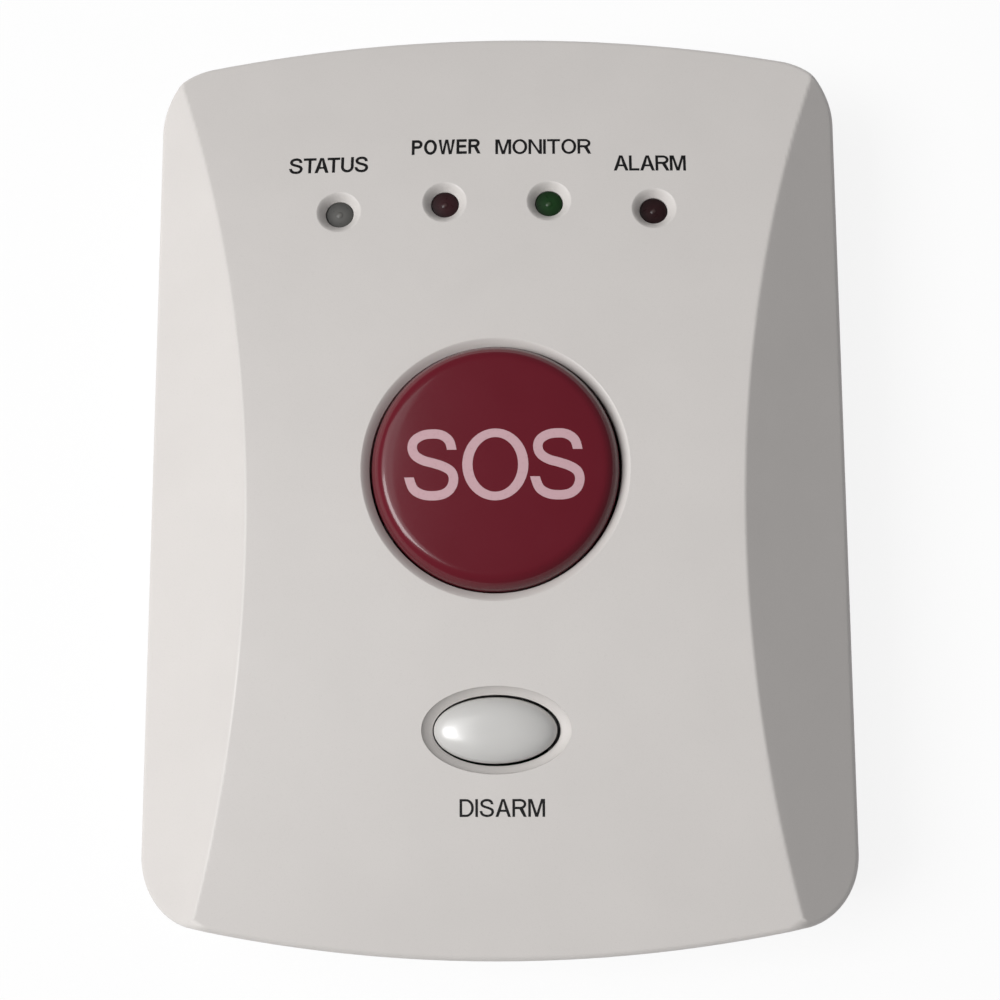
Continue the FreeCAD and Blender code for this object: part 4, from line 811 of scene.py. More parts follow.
@dataclass(frozen=True)
class CaseForm:
    """Plan outline and face of the case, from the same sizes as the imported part."""

    half_width: float = 41.0
    half_length: float = 55.0
    bow: float = 164.2
    corner: float = 8.0
    shoulder: float = 15.0
    crown: float = 24.0
    crown_radius: float = 230.0
    crown_offset: float = 8.0
    facet_rise: float = 0.7
    ridge_blend: float = 0.15

    @property
    def bow_middle(self) -> float:
        """Distance of the bow's centre from the middle of the case."""
        return self.bow - self.half_length

    @property
    def corner_middle(self) -> Pair:
        """Centre of the upper right corner."""
        across = self.half_width - self.corner
        return across, math.sqrt((self.bow - self.corner) ** 2 - across**2) - self.bow_middle

    @property
    def corner_turn(self) -> float:
        """Angle that a corner turns through."""
        return math.pi / 2 - math.asin(self.corner_middle[0] / (self.bow - self.corner))

    def legs(self) -> list[tuple[float, Callable[[float], tuple[Vector, Vector]]]]:
        """Lists the outline's legs from the middle of the left side, anticlockwise.

        Returns:
            The length of each leg, and a function from a distance on it to the point and outward direction.
        """
        x, y = self.corner_middle
        turn = self.corner_turn
        half_bow = math.pi / 2 - turn

        def side(start: Vector, heading: Vector) -> Callable[[float], tuple[Vector, Vector]]:
            """Makes a straight leg."""
            outward = Vector((heading.y, -heading.x))
            return lambda run: (start + heading * run, outward)

        def arc(centre: Vector, radius: float, start: float) -> Callable[[float], tuple[Vector, Vector]]:
            """Makes an arc from the angle start."""
            def at(run: float) -> tuple[Vector, Vector]:
                """Gives a point and direction of the arc."""
                angle = start + run / radius
                outward = Vector((math.cos(angle), math.sin(angle)))
                return centre + outward * radius, outward
            return at

        right, up = Vector((1.0, 0.0)), Vector((0.0, 1.0))
        return [
            (y, side(Vector((-self.half_width, 0.0)), -up)),
            (self.corner * turn, arc(Vector((-x, -y)), self.corner, math.pi)),
            (2 * self.bow * half_bow, arc(up * self.bow_middle, self.bow, math.pi + turn)),
            (self.corner * turn, arc(Vector((x, -y)), self.corner, -turn)),
            (2 * y, side(Vector((self.half_width, -y)), up)),
            (self.corner * turn, arc(Vector((x, y)), self.corner, 0.0)),
            (2 * self.bow * half_bow, arc(-up * self.bow_middle, self.bow, turn)),
            (self.corner * turn, arc(Vector((-x, y)), self.corner, math.pi - turn)),
            (y, side(Vector((-self.half_width, y)), -up)),
        ]

    def edge(self, run: float) -> tuple[Vector, Vector]:
        """Gives a point of the outline and its outward direction.

        Args:
            run: distance along the outline.

        Returns:
            The point and the direction.
        """
        legs = self.legs()
        for length, at in legs[:-1]:
            if run <= length:
                return at(run)
            run -= length
        return legs[-1][1](run)

    def inset(self, run: float, depth: float) -> Vector:
        """Gives the point that lies at a depth inside the outline."""
        point, outward = self.edge(run)
        return point - outward * depth

    def inset_loop(self, depth: float) -> Loop:
        """Gives the outline at a depth inside."""
        return [tuple(self.inset(run, depth)) for run in self.stations()[:-1]]

    def stations(self, coarse: float = 2.5, fine: float = 0.7) -> list[float]:
        """Lists distances along the outline, closer together round the corners."""
        found, start = [0.0], 0.0
        for length, _ in self.legs():
            step = fine if length < 2 * self.corner else coarse
            found += spread(start, start + length, step)[1:]
            start += length
        return found

    def leg_start(self, number: int) -> float:
        """Gives the distance along the outline at which a leg starts."""
        return sum(length for length, _ in self.legs()[:number])

    def crown_at(self, along: float) -> float:
        """Gives the level of the bowed face."""
        away = along + self.crown_offset
        return self.crown - self.crown_radius + math.sqrt(self.crown_radius**2 - away**2)

    def ridge_at(self, along: float) -> float:
        """Gives how far from the centre line the face meets the facets."""
        return self.half_width - (self.crown_at(along) - self.shoulder) / self.facet_rise

    def face(self, across: float, along: float) -> float:
        """Gives the level of the outside, with the ridges softened.

        Args:
            across: place across the case.
            along: place along the case.

        Returns:
            The level in mm.
        """
        bowed = self.crown_at(along)
        facet = self.shoulder + self.facet_rise * (self.half_width - abs(across))
        short = max(self.ridge_blend - abs(bowed - facet), 0.0)
        return min(bowed, facet) - short**2 / (4 * self.ridge_blend)


FORM = CaseForm()


@dataclass(frozen=True)
class Mouth:
    """An oval opening in the face: its rim on the face, its bore, and how it slopes down to that.

    A slope of 1 is straight, a higher one starts flush with the face, and a lower one is a bowl.
    """

    middle: Pair
    rim: Pair
    bore: Pair
    depth: float
    slope: float
    end_level: float
    sides: int
    steps: tuple[float, ...] = (0.0, 0.05, 0.12, 0.2, 0.3, 0.42, 0.56, 0.7, 0.85, 1.0)

    def loop(self) -> Loop:
        """Gives the rim as a loop."""
        return [oval_point(self.middle, self.rim, angle) for angle in turns(self.sides)[:-1]]

    def draw(self, draft: Draft) -> None:
        """Adds the sloping mouth and the bore to the cover's mesh."""
        def sloped(angle: float, share: float) -> Vector:
            """Gives a point of the slope, at a share of its width."""
            axes = tuple(self.rim[n] + (self.bore[n] - self.rim[n]) * share for n in (0, 1))
            x, y = oval_point(self.middle, axes, angle)
            return Vector((x, y, FORM.face(x, y) - self.depth * max(share, 0.0) ** self.slope))

        def bored(angle: float, share: float) -> Vector:
            """Gives a point of the bore, at a share of its depth."""
            x, y = oval_point(self.middle, self.bore, angle)
            top = FORM.face(x, y) - self.depth
            return Vector((x, y, top + (self.end_level - top) * share))

        draft.patch(sloped, turns(self.sides), self.steps)
        draft.patch(bored, turns(self.sides), [0.0, 0.5, 1.0])


@dataclass
class FrontCover:
    """The moulded front, with its rounded rim, softened ridges, wells, dishes and side openings."""

    rim: float = 0.65
    parting: float = 7.0
    chamfer: float = 0.35
    wall: float = 0.6
    wall_depth: float = 2.0
    lip: float = 0.15
    lamp_rim: float = 2.66
    lamp_bore: float = 1.67
    lamp_depth: float = 1.05
    lamp_slope: float = 1.4
    lamp_well: float = 4.2
    knob_window: tuple[float, float, float, float] = (-22.3, 11.55, -15.7, 13.85)
    knob_corner: float = 0.35
    socket_window: tuple[float, float, float] = (12.6, 4.3, 1.9)
    grid: float = 2.0
    ridge_margin: float = 1.6
    ridge_step: float = 1.2
    ridge_rows: tuple[float, ...] = (-1.0, -0.45, -0.24, -0.08, 0.08, 0.24, 0.45, 1.0)
    grid_gap: float = 0.9
    row_gap: float = 0.3
    wall_rows: tuple[float, ...] = (8.9, 10.4, 12.0)
    window_gap: float = 0.8
    bend_step: float = math.pi / 18

    def mouths(self) -> list[Mouth]:
        """Lists the openings of the face."""
        call = Mouth(
            middle=(0.1, -0.15), rim=(15.32, 15.32), bore=(14.36, 14.36),
            depth=0.85, slope=1.3, end_level=17.4, sides=128,
        )
        release = Mouth(
            middle=(0.12, -29.7), rim=(8.35, 4.86), bore=(7.14, 3.94),
            depth=1.05, slope=0.75, end_level=17.65, sides=96,
        )
        dishes = [
            Mouth(
                middle=place, rim=(self.lamp_rim,) * 2, bore=(self.lamp_bore,) * 2,
                depth=self.lamp_depth, slope=self.lamp_slope,
                end_level=FORM.face(*place) - self.lamp_depth - self.lamp_well, sides=60,
            )
            for place in LAMP_PLACES
        ]
        return [call, release, *dishes]

    def face_part(self, draft: Draft) -> None:
        """Adds the bowed face and both facets, up to the rounded rim."""
        loops = [FORM.inset_loop(self.rim)] + [mouth.loop() for mouth in self.mouths()]
        reach = (FORM.half_width, FORM.half_length)
        net = np.array([
            (x, y)
            for y in spread(-reach[1], reach[1], self.grid)
            for x in spread(-reach[0], reach[0], self.grid)
        ])
        ridge_gap = np.array([abs(abs(x) - FORM.ridge_at(y)) for x, y in net])
        net = net[ridge_gap > self.ridge_margin]
        rows = np.array([
            (side * (FORM.ridge_at(y) + offset), y)
            for y in spread(-reach[1], reach[1], self.ridge_step)
            for offset in self.ridge_rows
            for side in (-1.0, 1.0)
        ])
        inner = []
        for points, gap in ((net, self.grid_gap), (rows, self.row_gap)):
            kept = inside_loops(points, loops) & clear_of(points, loops, gap)
            inner += [tuple(point) for point in points[kept]]
        draft.region(lambda x, y: Vector((x, y, FORM.face(x, y))), loops, inner)

    def rim_part(self, draft: Draft) -> None:
        """Adds the rounding between the face and the side walls."""
        def place(run: float, turn: float) -> Vector:
            """Gives a point of the rounding."""
            x, y = FORM.inset(run, self.rim * (1.0 - math.sin(turn)))
            return Vector((x, y, FORM.face(x, y) - self.rim * (1.0 - math.cos(turn))))

        draft.patch(place, FORM.stations(), spread(0.0, math.pi / 2, self.bend_step), flip=True)

    def window(self, low: Pair, high: Pair, radius: float, count: int) -> tuple[Loop, Loop]:
        """Draws a side window, in distance and level.

        Args:
            low: its lower left corner.
            high: its upper right corner.
            radius: radius of its corners.
            count: steps round each corner.

        Returns:
            The outer loop, wider by the lip, and the inner loop.
        """
        wide_low = (low[0] - self.lip, low[1] - self.lip)
        wide_high = (high[0] + self.lip, high[1] + self.lip)
        return (
            rounded_box(wide_low, wide_high, radius + self.lip, count),
            rounded_box(low, high, radius, count),
        )

    def windows(self) -> list[tuple[Loop, Loop]]:
        """Lists the windows of the knob and the socket."""
        right = FORM.leg_start(4) + FORM.corner_middle[1]
        low_y, low_z, high_y, high_z = self.knob_window
        bottom = FORM.leg_start(2) + FORM.legs()[2][0] / 2
        level, half, radius = self.socket_window
        nearly_round = radius - 0.01
        return [
            self.window((right + low_y, low_z), (right + high_y, high_z), self.knob_corner, 5),
            self.window((bottom - half, level - radius), (bottom + half, level + radius), nearly_round, 12),
        ]

    def wall_part(self, draft: Draft) -> None:
        """Adds the side walls with their windows, and the lower edge."""
        stations = FORM.stations()
        base = self.parting + self.chamfer

        def place(run: float, level: float) -> Vector:
            """Gives a point of the wall."""
            point, _ = FORM.edge(run)
            return Vector((point.x, point.y, level))

        def top(run: float) -> float:
            """Gives the level at which the wall ends in the rim."""
            point, _ = FORM.edge(run)
            return FORM.face(point.x, point.y) - self.rim

        rows = self.wall_rows
        outer = [(run, base) for run in stations]
        outer += [(stations[-1], level) for level in rows]
        outer += [(run, top(run)) for run in reversed(stations)]
        outer += [(0.0, level) for level in reversed(rows)]
        windows = self.windows()
        loops = [outer] + [lip for lip, _ in windows]
        net = np.array([(run, level) for run in stations[1:-1] for level in rows])
        kept = inside_loops(net, loops) & clear_of(net, loops[1:], self.window_gap)
        draft.region(place, loops, [tuple(point) for point in net[kept]])
        for lip, hole in windows:
            self.window_part(draft, lip, hole)

        def lower(run: float, share: float) -> Vector:
            """Gives a point of the chamfer of the lower edge."""
            return Vector((*FORM.inset(run, self.chamfer * share), base - self.chamfer * share))

        def sole(run: float, share: float) -> Vector:
            """Gives a point of the edge's flat underside."""
            depth = self.chamfer + (self.wall - self.chamfer) * share
            return Vector((*FORM.inset(run, depth), self.parting))

        draft.patch(lower, stations, [0.0, 1.0], flip=True)
        draft.patch(sole, stations, [0.0, 1.0], flip=True)

    def window_part(self, draft: Draft, lip: Loop, hole: Loop) -> None:
        """Adds the sides of a window.

        Args:
            draft: the cover's mesh.
            lip: its outer loop, on the wall.
            hole: its inner loop, which the sides follow inwards.
        """
        def spot(corner: Pair, depth: float) -> Vector:
            """Gives the point of a corner at a depth in the wall."""
            return Vector((*FORM.inset(corner[0], depth), corner[1]))

        rings = ((lip, 0.0), (hole, self.lip), (hole, self.wall_depth))
        for (near, start), (far, end) in zip(rings, rings[1:]):
            for number in range(len(lip)):
                after = (number + 1) % len(lip)
                ring = [
                    spot(near[number], start),
                    spot(near[after], start),
                    spot(far[after], end),
                    spot(far[number], end),
                ]
                facing = (ring[2] - ring[0]).cross(ring[3] - ring[1]).normalized()
                draft.add(ring, [facing] * 4)

    def build(self) -> bpy.types.Object:
        """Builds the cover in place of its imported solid."""
        draft = Draft()
        self.face_part(draft)
        self.rim_part(draft)
        self.wall_part(draft)
        for mouth in self.mouths():
            mouth.draw(draft)
        draft.thicken(self.wall)
        cover = draft.build("front_cover_moulding", Stock.HOUSING)
        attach(cover, "housing")
        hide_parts("front_cover")
        return cover


def rounded_box(low: Pair, high: Pair, radius: float, count: int) -> Loop:
    """Draws a box with rounded corners, anticlockwise.

    Args:
        low: lower left corner.
        high: upper right corner.
        radius: radius of the corners.
        count: steps round each corner.

    Returns:
        The loop.
    """
    left, right = low[0] + radius, high[0] - radius
    bottom, top = low[1] + radius, high[1] - radius
    loop = []
    for quarter, middle in enumerate(((right, top), (left, top), (left, bottom), (right, bottom))):
        for number in range(count + 1):
            angle = (quarter + number / count) * math.pi / 2
            loop.append(oval_point(middle, (radius, radius), angle))
    return loop


# Printed words


def smooth_path(knots: Sequence[Pair], steps: int) -> Loop:
    """Runs a smooth line through knots.

    Args:
        knots: points that the line passes.
        steps: points between two knots.

    Returns:
        Points of the line.
    """
    spots = [Vector(knot) for knot in knots]
    padded = [spots[0], *spots, spots[-1]]
    found = []
    for one, two, three, four in zip(padded, padded[1:], padded[2:], padded[3:]):
        for step in range(steps):
            share = step / steps
            spot = 0.5 * (
                2 * two
                + (three - one) * share
                + (2 * one - 5 * two + 4 * three - four) * share**2
                + (3 * two - one - 3 * three + four) * share**3
            )
            found.append((spot.x, spot.y))
    return [*found, tuple(spots[-1])]


def stroked(path: Loop, width: float) -> Loop:
    """Gives the outline of an open stroke whose ends are cut level.

    Args:
        path: the middle line of the stroke.
        width: its width.

    Returns:
        The outline.
    """
    left, right = [], []
    for number, (x, y) in enumerate(path):
        before, after = path[max(number - 1, 0)], path[min(number + 1, len(path) - 1)]
        heading = Vector((after[0] - before[0], after[1] - before[1])).normalized()
        if number in (0, len(path) - 1):
            heading = Vector((0.0, math.copysign(1.0, heading.y)))
        aside = Vector((-heading.y, heading.x)) * width / 2
        left.append((x + aside.x, y + aside.y))
        right.append((x - aside.x, y - aside.y))
    return left + right[::-1]


def bow_of(middle: Pair, axes: Pair, start: float, end: float, count: int = 14) -> Loop:
    """Gives points of an oval arc between two angles in degrees."""
    angles = spread(start, end, abs(end - start) / count)
    return [oval_point(middle, axes, math.radians(angle)) for angle in angles]


@dataclass(frozen=True)
class Letter:
    """A capital letter: how wide it is, and its outline and holes, for a height of 1."""

    width: float
    loops: tuple[Loop, ...]


@dataclass(frozen=True)
class Alphabet:
    """Plain sans-serif capitals, drawn for a stroke of a given width and a height of 1."""

    stroke: float

    def letter(self, name: str) -> Letter:
        """Draws the letter of that name."""
        return getattr(self, "_" + name.lower())()

    def _i(self) -> Letter:
        """Draws I."""
        t = self.stroke
        return Letter(t, ([(0.0, 0.0), (t, 0.0), (t, 1.0), (0.0, 1.0)],))

    def _l(self) -> Letter:
        """Draws L."""
        t = self.stroke
        return Letter(0.56, ([(0.0, 0.0), (0.56, 0.0), (0.56, t), (t, t), (t, 1.0), (0.0, 1.0)],))

    def _t(self) -> Letter:
        """Draws T."""
        t, half = self.stroke, 0.36
        stem = [(half - t / 2, 1.0 - t), (half - t / 2, 0.0), (half + t / 2, 0.0), (half + t / 2, 1.0 - t)]
        return Letter(0.72, (stem + [(0.72, 1.0 - t), (0.72, 1.0), (0.0, 1.0), (0.0, 1.0 - t)],))

    def _e(self) -> Letter:
        """Draws E."""
        t, wide = self.stroke, 0.66
        low, high = 0.52 - t / 2, 0.52 + t / 2
        foot = [(0.0, 0.0), (wide, 0.0), (wide, t), (t, t)]
        arm = [(t, low), (0.61, low), (0.61, high), (t, high)]
        return Letter(wide, (foot + arm + [(t, 1.0 - t), (0.65, 1.0 - t), (0.65, 1.0), (0.0, 1.0)],))

    def _n(self) -> Letter:
        """Draws N."""
        t, wide = self.stroke, 0.74
        left = [(0.0, 0.0), (t, 0.0), (t, 0.78), (wide - 1.1 * t, 0.0)]
        right = [(wide, 0.0), (wide, 1.0), (wide - t, 1.0), (wide - t, 0.22), (1.1 * t, 1.0)]
        return Letter(wide, (left + right + [(0.0, 1.0)],))

    def _m(self) -> Letter:
        """Draws M."""
        t, wide = self.stroke, 0.87
        half = wide / 2
        left = [(0.0, 0.0), (t, 0.0), (t, 0.8), (half - t * 0.55, 0.0)]
        middle = [(half + t * 0.55, 0.0), (wide - t, 0.8), (wide - t, 0.0), (wide, 0.0)]
        top = [(wide, 1.0), (wide - 1.5 * t, 1.0), (half, 0.22), (1.5 * t, 1.0), (0.0, 1.0)]
        return Letter(wide, (left + middle + top,))

    def _a(self) -> Letter:
        """Draws A."""
        wide, half, foot = 0.8, 0.4, self.stroke * 1.1
        outline = [(0.0, 0.0), (foot, 0.0), (foot + 0.1, 0.28), (wide - foot - 0.1, 0.28)]
        outline += [(wide - foot, 0.0), (wide, 0.0), (half + foot * 0.55, 1.0), (half - foot * 0.55, 1.0)]
        return Letter(wide, (outline, [(foot + 0.14, 0.4), (half, 0.87), (wide - foot - 0.14, 0.4)]))

    def _w(self) -> Letter:
        """Draws W."""
        t, wide, half = self.stroke, 1.06, 0.53
        low = [(0.0, 1.0), (0.21, 0.0), (0.21 + t, 0.0), (half, 0.78), (wide - 0.21 - t, 0.0)]
        right = [(wide - 0.21, 0.0), (wide, 1.0), (wide - t, 1.0), (wide - 0.27, 0.22)]
        left = [(half + t * 0.5, 1.0), (half - t * 0.5, 1.0), (0.27, 0.22), (t, 1.0)]
        return Letter(wide, (low + right + left,))

    def _u(self) -> Letter:
        """Draws U."""
        t, half = self.stroke, 0.36
        outer = bow_of((half, 0.36), (half, 0.37), 180.0, 360.0) + [(2 * half, 1.0)]
        inner = bow_of((half, 0.36), (half - t, 0.37 - t), 0.0, -180.0) + [(t, 1.0), (0.0, 1.0)]
        return Letter(2 * half, (outer + [(2 * half - t, 1.0)] + inner,))

    def _o(self) -> Letter:
        """Draws O."""
        rings = [
            bow_of((0.41, 0.5), (0.41 - cut, 0.515 - cut), 0.0, 348.0, 29)
            for cut in (0.0, self.stroke)
        ]
        return Letter(0.82, tuple(rings))

    def _d(self) -> Letter:
        """Draws D."""
        t, middle = self.stroke, (0.34, 0.5)
        outer = [(0.0, 0.0)] + bow_of(middle, (0.4, 0.5), -90.0, 90.0) + [(0.0, 1.0)]
        bowl = [(t, t)] + bow_of(middle, (0.4 - t, 0.5 - t), -90.0, 90.0) + [(t, 1.0 - t)]
        return Letter(0.74, (outer, bowl))

    def _p(self) -> Letter:
        """Draws P."""
        t, middle = self.stroke, (0.38, 0.705)
        outer = [(0.0, 0.0), (t, 0.0), (t, 0.41)] + bow_of(middle, (0.3, 0.295), -90.0, 90.0) + [(0.0, 1.0)]
        bowl = [(t, 0.41 + t)] + bow_of(middle, (0.3 - t, 0.295 - t), -90.0, 90.0) + [(t, 1.0 - t)]
        return Letter(0.68, (outer, bowl))

    def _r(self) -> Letter:
        """Draws R."""
        t, middle = self.stroke, (0.41, 0.715)
        leg = [(0.0, 0.0), (t, 0.0), (t, 0.43), (0.36, 0.43), (0.58, 0.0), (0.58 + 1.15 * t, 0.0)]
        outer = leg + bow_of(middle, (0.31, 0.285), -62.0, 90.0) + [(0.0, 1.0)]
        bowl = [(t, 0.43 + t)] + bow_of(middle, (0.31 - t, 0.285 - t), -90.0, 90.0) + [(t, 1.0 - t)]
        return Letter(0.74, (outer, bowl))

    def _s(self) -> Letter:
        """Draws S."""
        knots = (
            (0.655, 0.705), (0.615, 0.84), (0.51, 0.92), (0.385, 0.94), (0.25, 0.915),
            (0.145, 0.84), (0.115, 0.735), (0.16, 0.635), (0.27, 0.57), (0.4, 0.525),
            (0.545, 0.47), (0.65, 0.4), (0.685, 0.29), (0.645, 0.165), (0.545, 0.085),
            (0.405, 0.06), (0.25, 0.085), (0.13, 0.17), (0.07, 0.33),
        )
        return Letter(0.75, (stroked(smooth_path(knots, 4), self.stroke),))


class Weight(Enum):
    """How heavy a printed word is: its stroke as a share of its height."""

    BOLD = 0.18
    MEDIUM = 0.163
    NORMAL = 0.147
    LIGHT = 0.133


@dataclass(frozen=True)
class Word:
    """A printed word and the box that it fills, in mm.

    It leans by a slope. The gap between letters, and how much nearer a T and an A stand, are in the
    letters' own drawing, whose height is 1.
    """

    text: str
    left: float
    right: float
    middle: float
    height: float
    weight: Weight
    lean: float
    gap: float
    tuck: float = 0.14

    def _gaps(self) -> list[float]:
        """Lists the gap after each letter; a T and an A stand closer, as in print."""
        pairs = [self.text[n:n + 2] for n in range(len(self.text))]
        return [self.gap - self.tuck * (pair in ("TA", "AT")) for pair in pairs]

    def loops(self) -> list[Loop]:
        """Lays the word's outlines out in its box.

        Returns:
            Outlines and holes in mm.
        """
        alphabet = Alphabet(self.weight.value)
        letters = [alphabet.letter(name) for name in self.text]
        gaps = self._gaps()
        natural = sum(letter.width for letter in letters) + sum(gaps[:-1])
        stretch = (self.right - self.left) / natural
        start, found = 0.0, []
        for letter, gap in zip(letters, gaps):
            for loop in letter.loops:
                found.append([self._placed(start + x, y, stretch) for x, y in loop])
            start += letter.width + gap
        return found

    def _placed(self, x: float, y: float, stretch: float) -> Pair:
        """Puts a point of the word's own drawing into its box."""
        across = self.left + x * stretch
        along = self.middle + (y - 0.5) * self.height
        return across, along + self.lean * (across - (self.left + self.right) / 2)


def film_of(
    draft: Draft,
    loops: Sequence[Loop],
    level: Callable[[float, float], float],
    film: float = 0.02,
) -> None:
    """Adds a film of ink that follows a surface, half sunk in it.

    Args:
        draft: the mesh that it goes into.
        loops: its outlines and holes.
        level: the surface's level at a place.
        film: how far it stands over the surface, and how far it lies in it.
    """
    def top(x: float, y: float) -> Vector:
        """Gives a point of the film's top."""
        return Vector((x, y, level(x, y) + film))

    def under(x: float, y: float) -> Vector:
        """Gives a point of the film's underside."""
        return Vector((x, y, level(x, y) - film))

    draft.region(top, loops, [])
    draft.region(under, loops, [], flip=True)
    for loop in loops:
        area = sum(a[0] * b[1] - b[0] * a[1] for a, b in zip(loop, loop[1:] + loop[:1]))
        others = [other for other in loops if other is not loop]
        is_hole = inside_loops(np.array([loop[0]]), others)[0]
        ring = loop if (area > 0) != is_hole else loop[::-1]
        for one, two in zip(ring, ring[1:] + ring[:1]):
            corners = [under(*one), under(*two), top(*two), top(*one)]
            facing = (corners[1] - corners[0]).cross(corners[2] - corners[1]).normalized()
            draft.add(corners, [facing] * 4)


@dataclass
class Legends:
    """The plain function words beside the lamps and under the release button."""

    words: tuple[Word, ...] = (
        Word("STATUS", -24.55, -15.15, 37.42, 2.03, Weight.MEDIUM, 0.016, 0.06),
        Word("POWER", -9.94, -1.79, 39.7, 2.0, Weight.BOLD, 0.01, 0.1),
        Word("MONITOR", 0.06, 11.46, 39.57, 2.0, Weight.NORMAL, -0.01, 0.07),
        Word("ALARM", 14.12, 22.66, 37.15, 2.03, Weight.NORMAL, -0.016, 0.04),
        Word("DISARM", -4.0, 5.45, -38.21, 1.95, Weight.LIGHT, 0.0, 0.08),
    )

    def build_word(self, word: Word) -> bpy.types.Object:
        """Builds one word as a thin film that follows the face.

        Args:
            word: the word and its box.

        Returns:
            The film.
        """
        draft = Draft()
        film_of(draft, word.loops(), FORM.face)
        film = draft.build("legend_" + word.text.lower(), Stock.LEGEND_BLACK)
        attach(film, "housing")
        return film

    def build(self) -> list[bpy.types.Object]:
        """Builds all the words."""
        return [self.build_word(word) for word in self.words]


# Buttons and lamps


@dataclass
class CallButton:
    """The round red call button and the letters printed on it."""

    middle: Pair = (0.1, -0.25)
    radius: float = 14.08
    top: float = 25.865
    dome: float = 0.28
    edge: float = 2.0
    edge_fall: float = 2.7
    lug_top: float = 17.35
    skirt_end: float = 16.25
    skirt: float = 1.6
    ceiling: float = 23.8
    post: float = 2.4
    post_end: float = 17.05
    lug_reach: float = 15.5
    lug_half: float = 2.5
    key_half: float = 1.2
    key_height: float = 1.6
    lug_root: float = 0.4
    key_root: float = 1.0
    key_back: float = 0.1
    side_row: float = 21.0
    stroke: float = 1.06
    letter_low: float = -4.38
    letter_height: float = 8.19
    letter_lefts: Pair = (-10.12, 4.0)
    ring_middle: float = 0.18
    ring_axes: Pair = (3.7, 2.55)
    ring_stroke: float = 0.98
    letter_knots: tuple[Pair, ...] = (
        (5.42, 5.8), (5.1, 6.85), (4.25, 7.5), (3.2, 7.64), (2.1, 7.48), (1.2, 6.9), (0.95, 6.05),
        (1.3, 5.2), (2.2, 4.62), (3.3, 4.3), (4.5, 3.88), (5.35, 3.3), (5.62, 2.4), (5.3, 1.4),
        (4.5, 0.78), (3.35, 0.59), (2.1, 0.75), (1.1, 1.4), (0.6, 2.7),
    )

    def level(self, x: float, y: float) -> float:
        """Gives the level of the domed top."""
        flat = self.radius - self.edge
        return self.top - self.dome * (x * x + y * y) / flat**2

    def build_cap(self) -> bpy.types.Object:
        """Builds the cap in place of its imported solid."""
        flat = self.radius - self.edge
        shoulder = self.top - self.dome
        slope = math.atan(2 * self.dome / flat)
        dome = [(r, self.level(r, 0.0)) for r in spread(0.0, flat, 0.8)]
        bend = []
        for angle in spread(math.pi / 2 - slope, 0.0, math.pi / 28)[1:]:
            reach = flat + self.edge * math.cos(angle)
            bend.append((min(reach, self.radius), shoulder - self.edge_fall * (1 - math.sin(angle))))
        inner = self.radius - self.skirt
        profile = [
            dome + bend + [(self.radius, self.side_row), (self.radius, self.skirt_end)],
            [(self.radius, self.skirt_end), (inner, self.skirt_end)],
            [(inner, self.skirt_end), (inner, self.ceiling)],
            [(inner, self.ceiling), (self.post, self.ceiling)],
            [(self.post, self.ceiling), (self.post, self.post_end)],
            [(self.post, self.post_end), (0.0, self.post_end)],
        ]
        draft = Draft()
        turned(draft, profile, self.middle, 144)
        key_top = self.lug_top + self.key_height
        for side in (-1.0, 1.0):
            near, far = sorted((side * (self.radius - self.lug_root), side * self.lug_reach))
            draft.box((near, -self.lug_half, self.skirt_end), (far, self.lug_half, self.lug_top))
            draft.box((-self.lug_half, near, self.skirt_end), (self.lug_half, far, self.lug_top))
            key_ends = (self.radius - self.key_root, self.lug_reach - self.key_back)
            near, far = sorted(side * end for end in key_ends)
            draft.box((near, -self.key_half, self.lug_top), (far, self.key_half, key_top))
        cap = draft.build("call_button_cap", Stock.CALL_RED)
        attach(cap, "call_button")
        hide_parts("call_cap")
        return cap

    def build_letters(self) -> bpy.types.Object:
        """Builds the three letters as one film."""
        loops = []
        for left in self.letter_lefts:
            knots = [(left + x, self.letter_low + y) for x, y in self.letter_knots]
            loops.append(stroked(smooth_path(knots, 5), self.stroke))
        half = self.letter_height / 2
        middle = (self.ring_middle, self.letter_low + half)
        for across, along in zip(self.ring_axes, (half, half - self.ring_stroke)):
            loops.append(bow_of(middle, (across, along), 0.0, 355.0, 71))
        draft = Draft()
        film_of(draft, loops, self.level)
        letters = draft.build("call_button_letters", Stock.LEGEND_PINK)
        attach(letters, "call_button")
        return letters

    def build(self) -> list[bpy.types.Object]:
        """Builds the cap and its letters."""
        return [self.build_cap(), self.build_letters()]


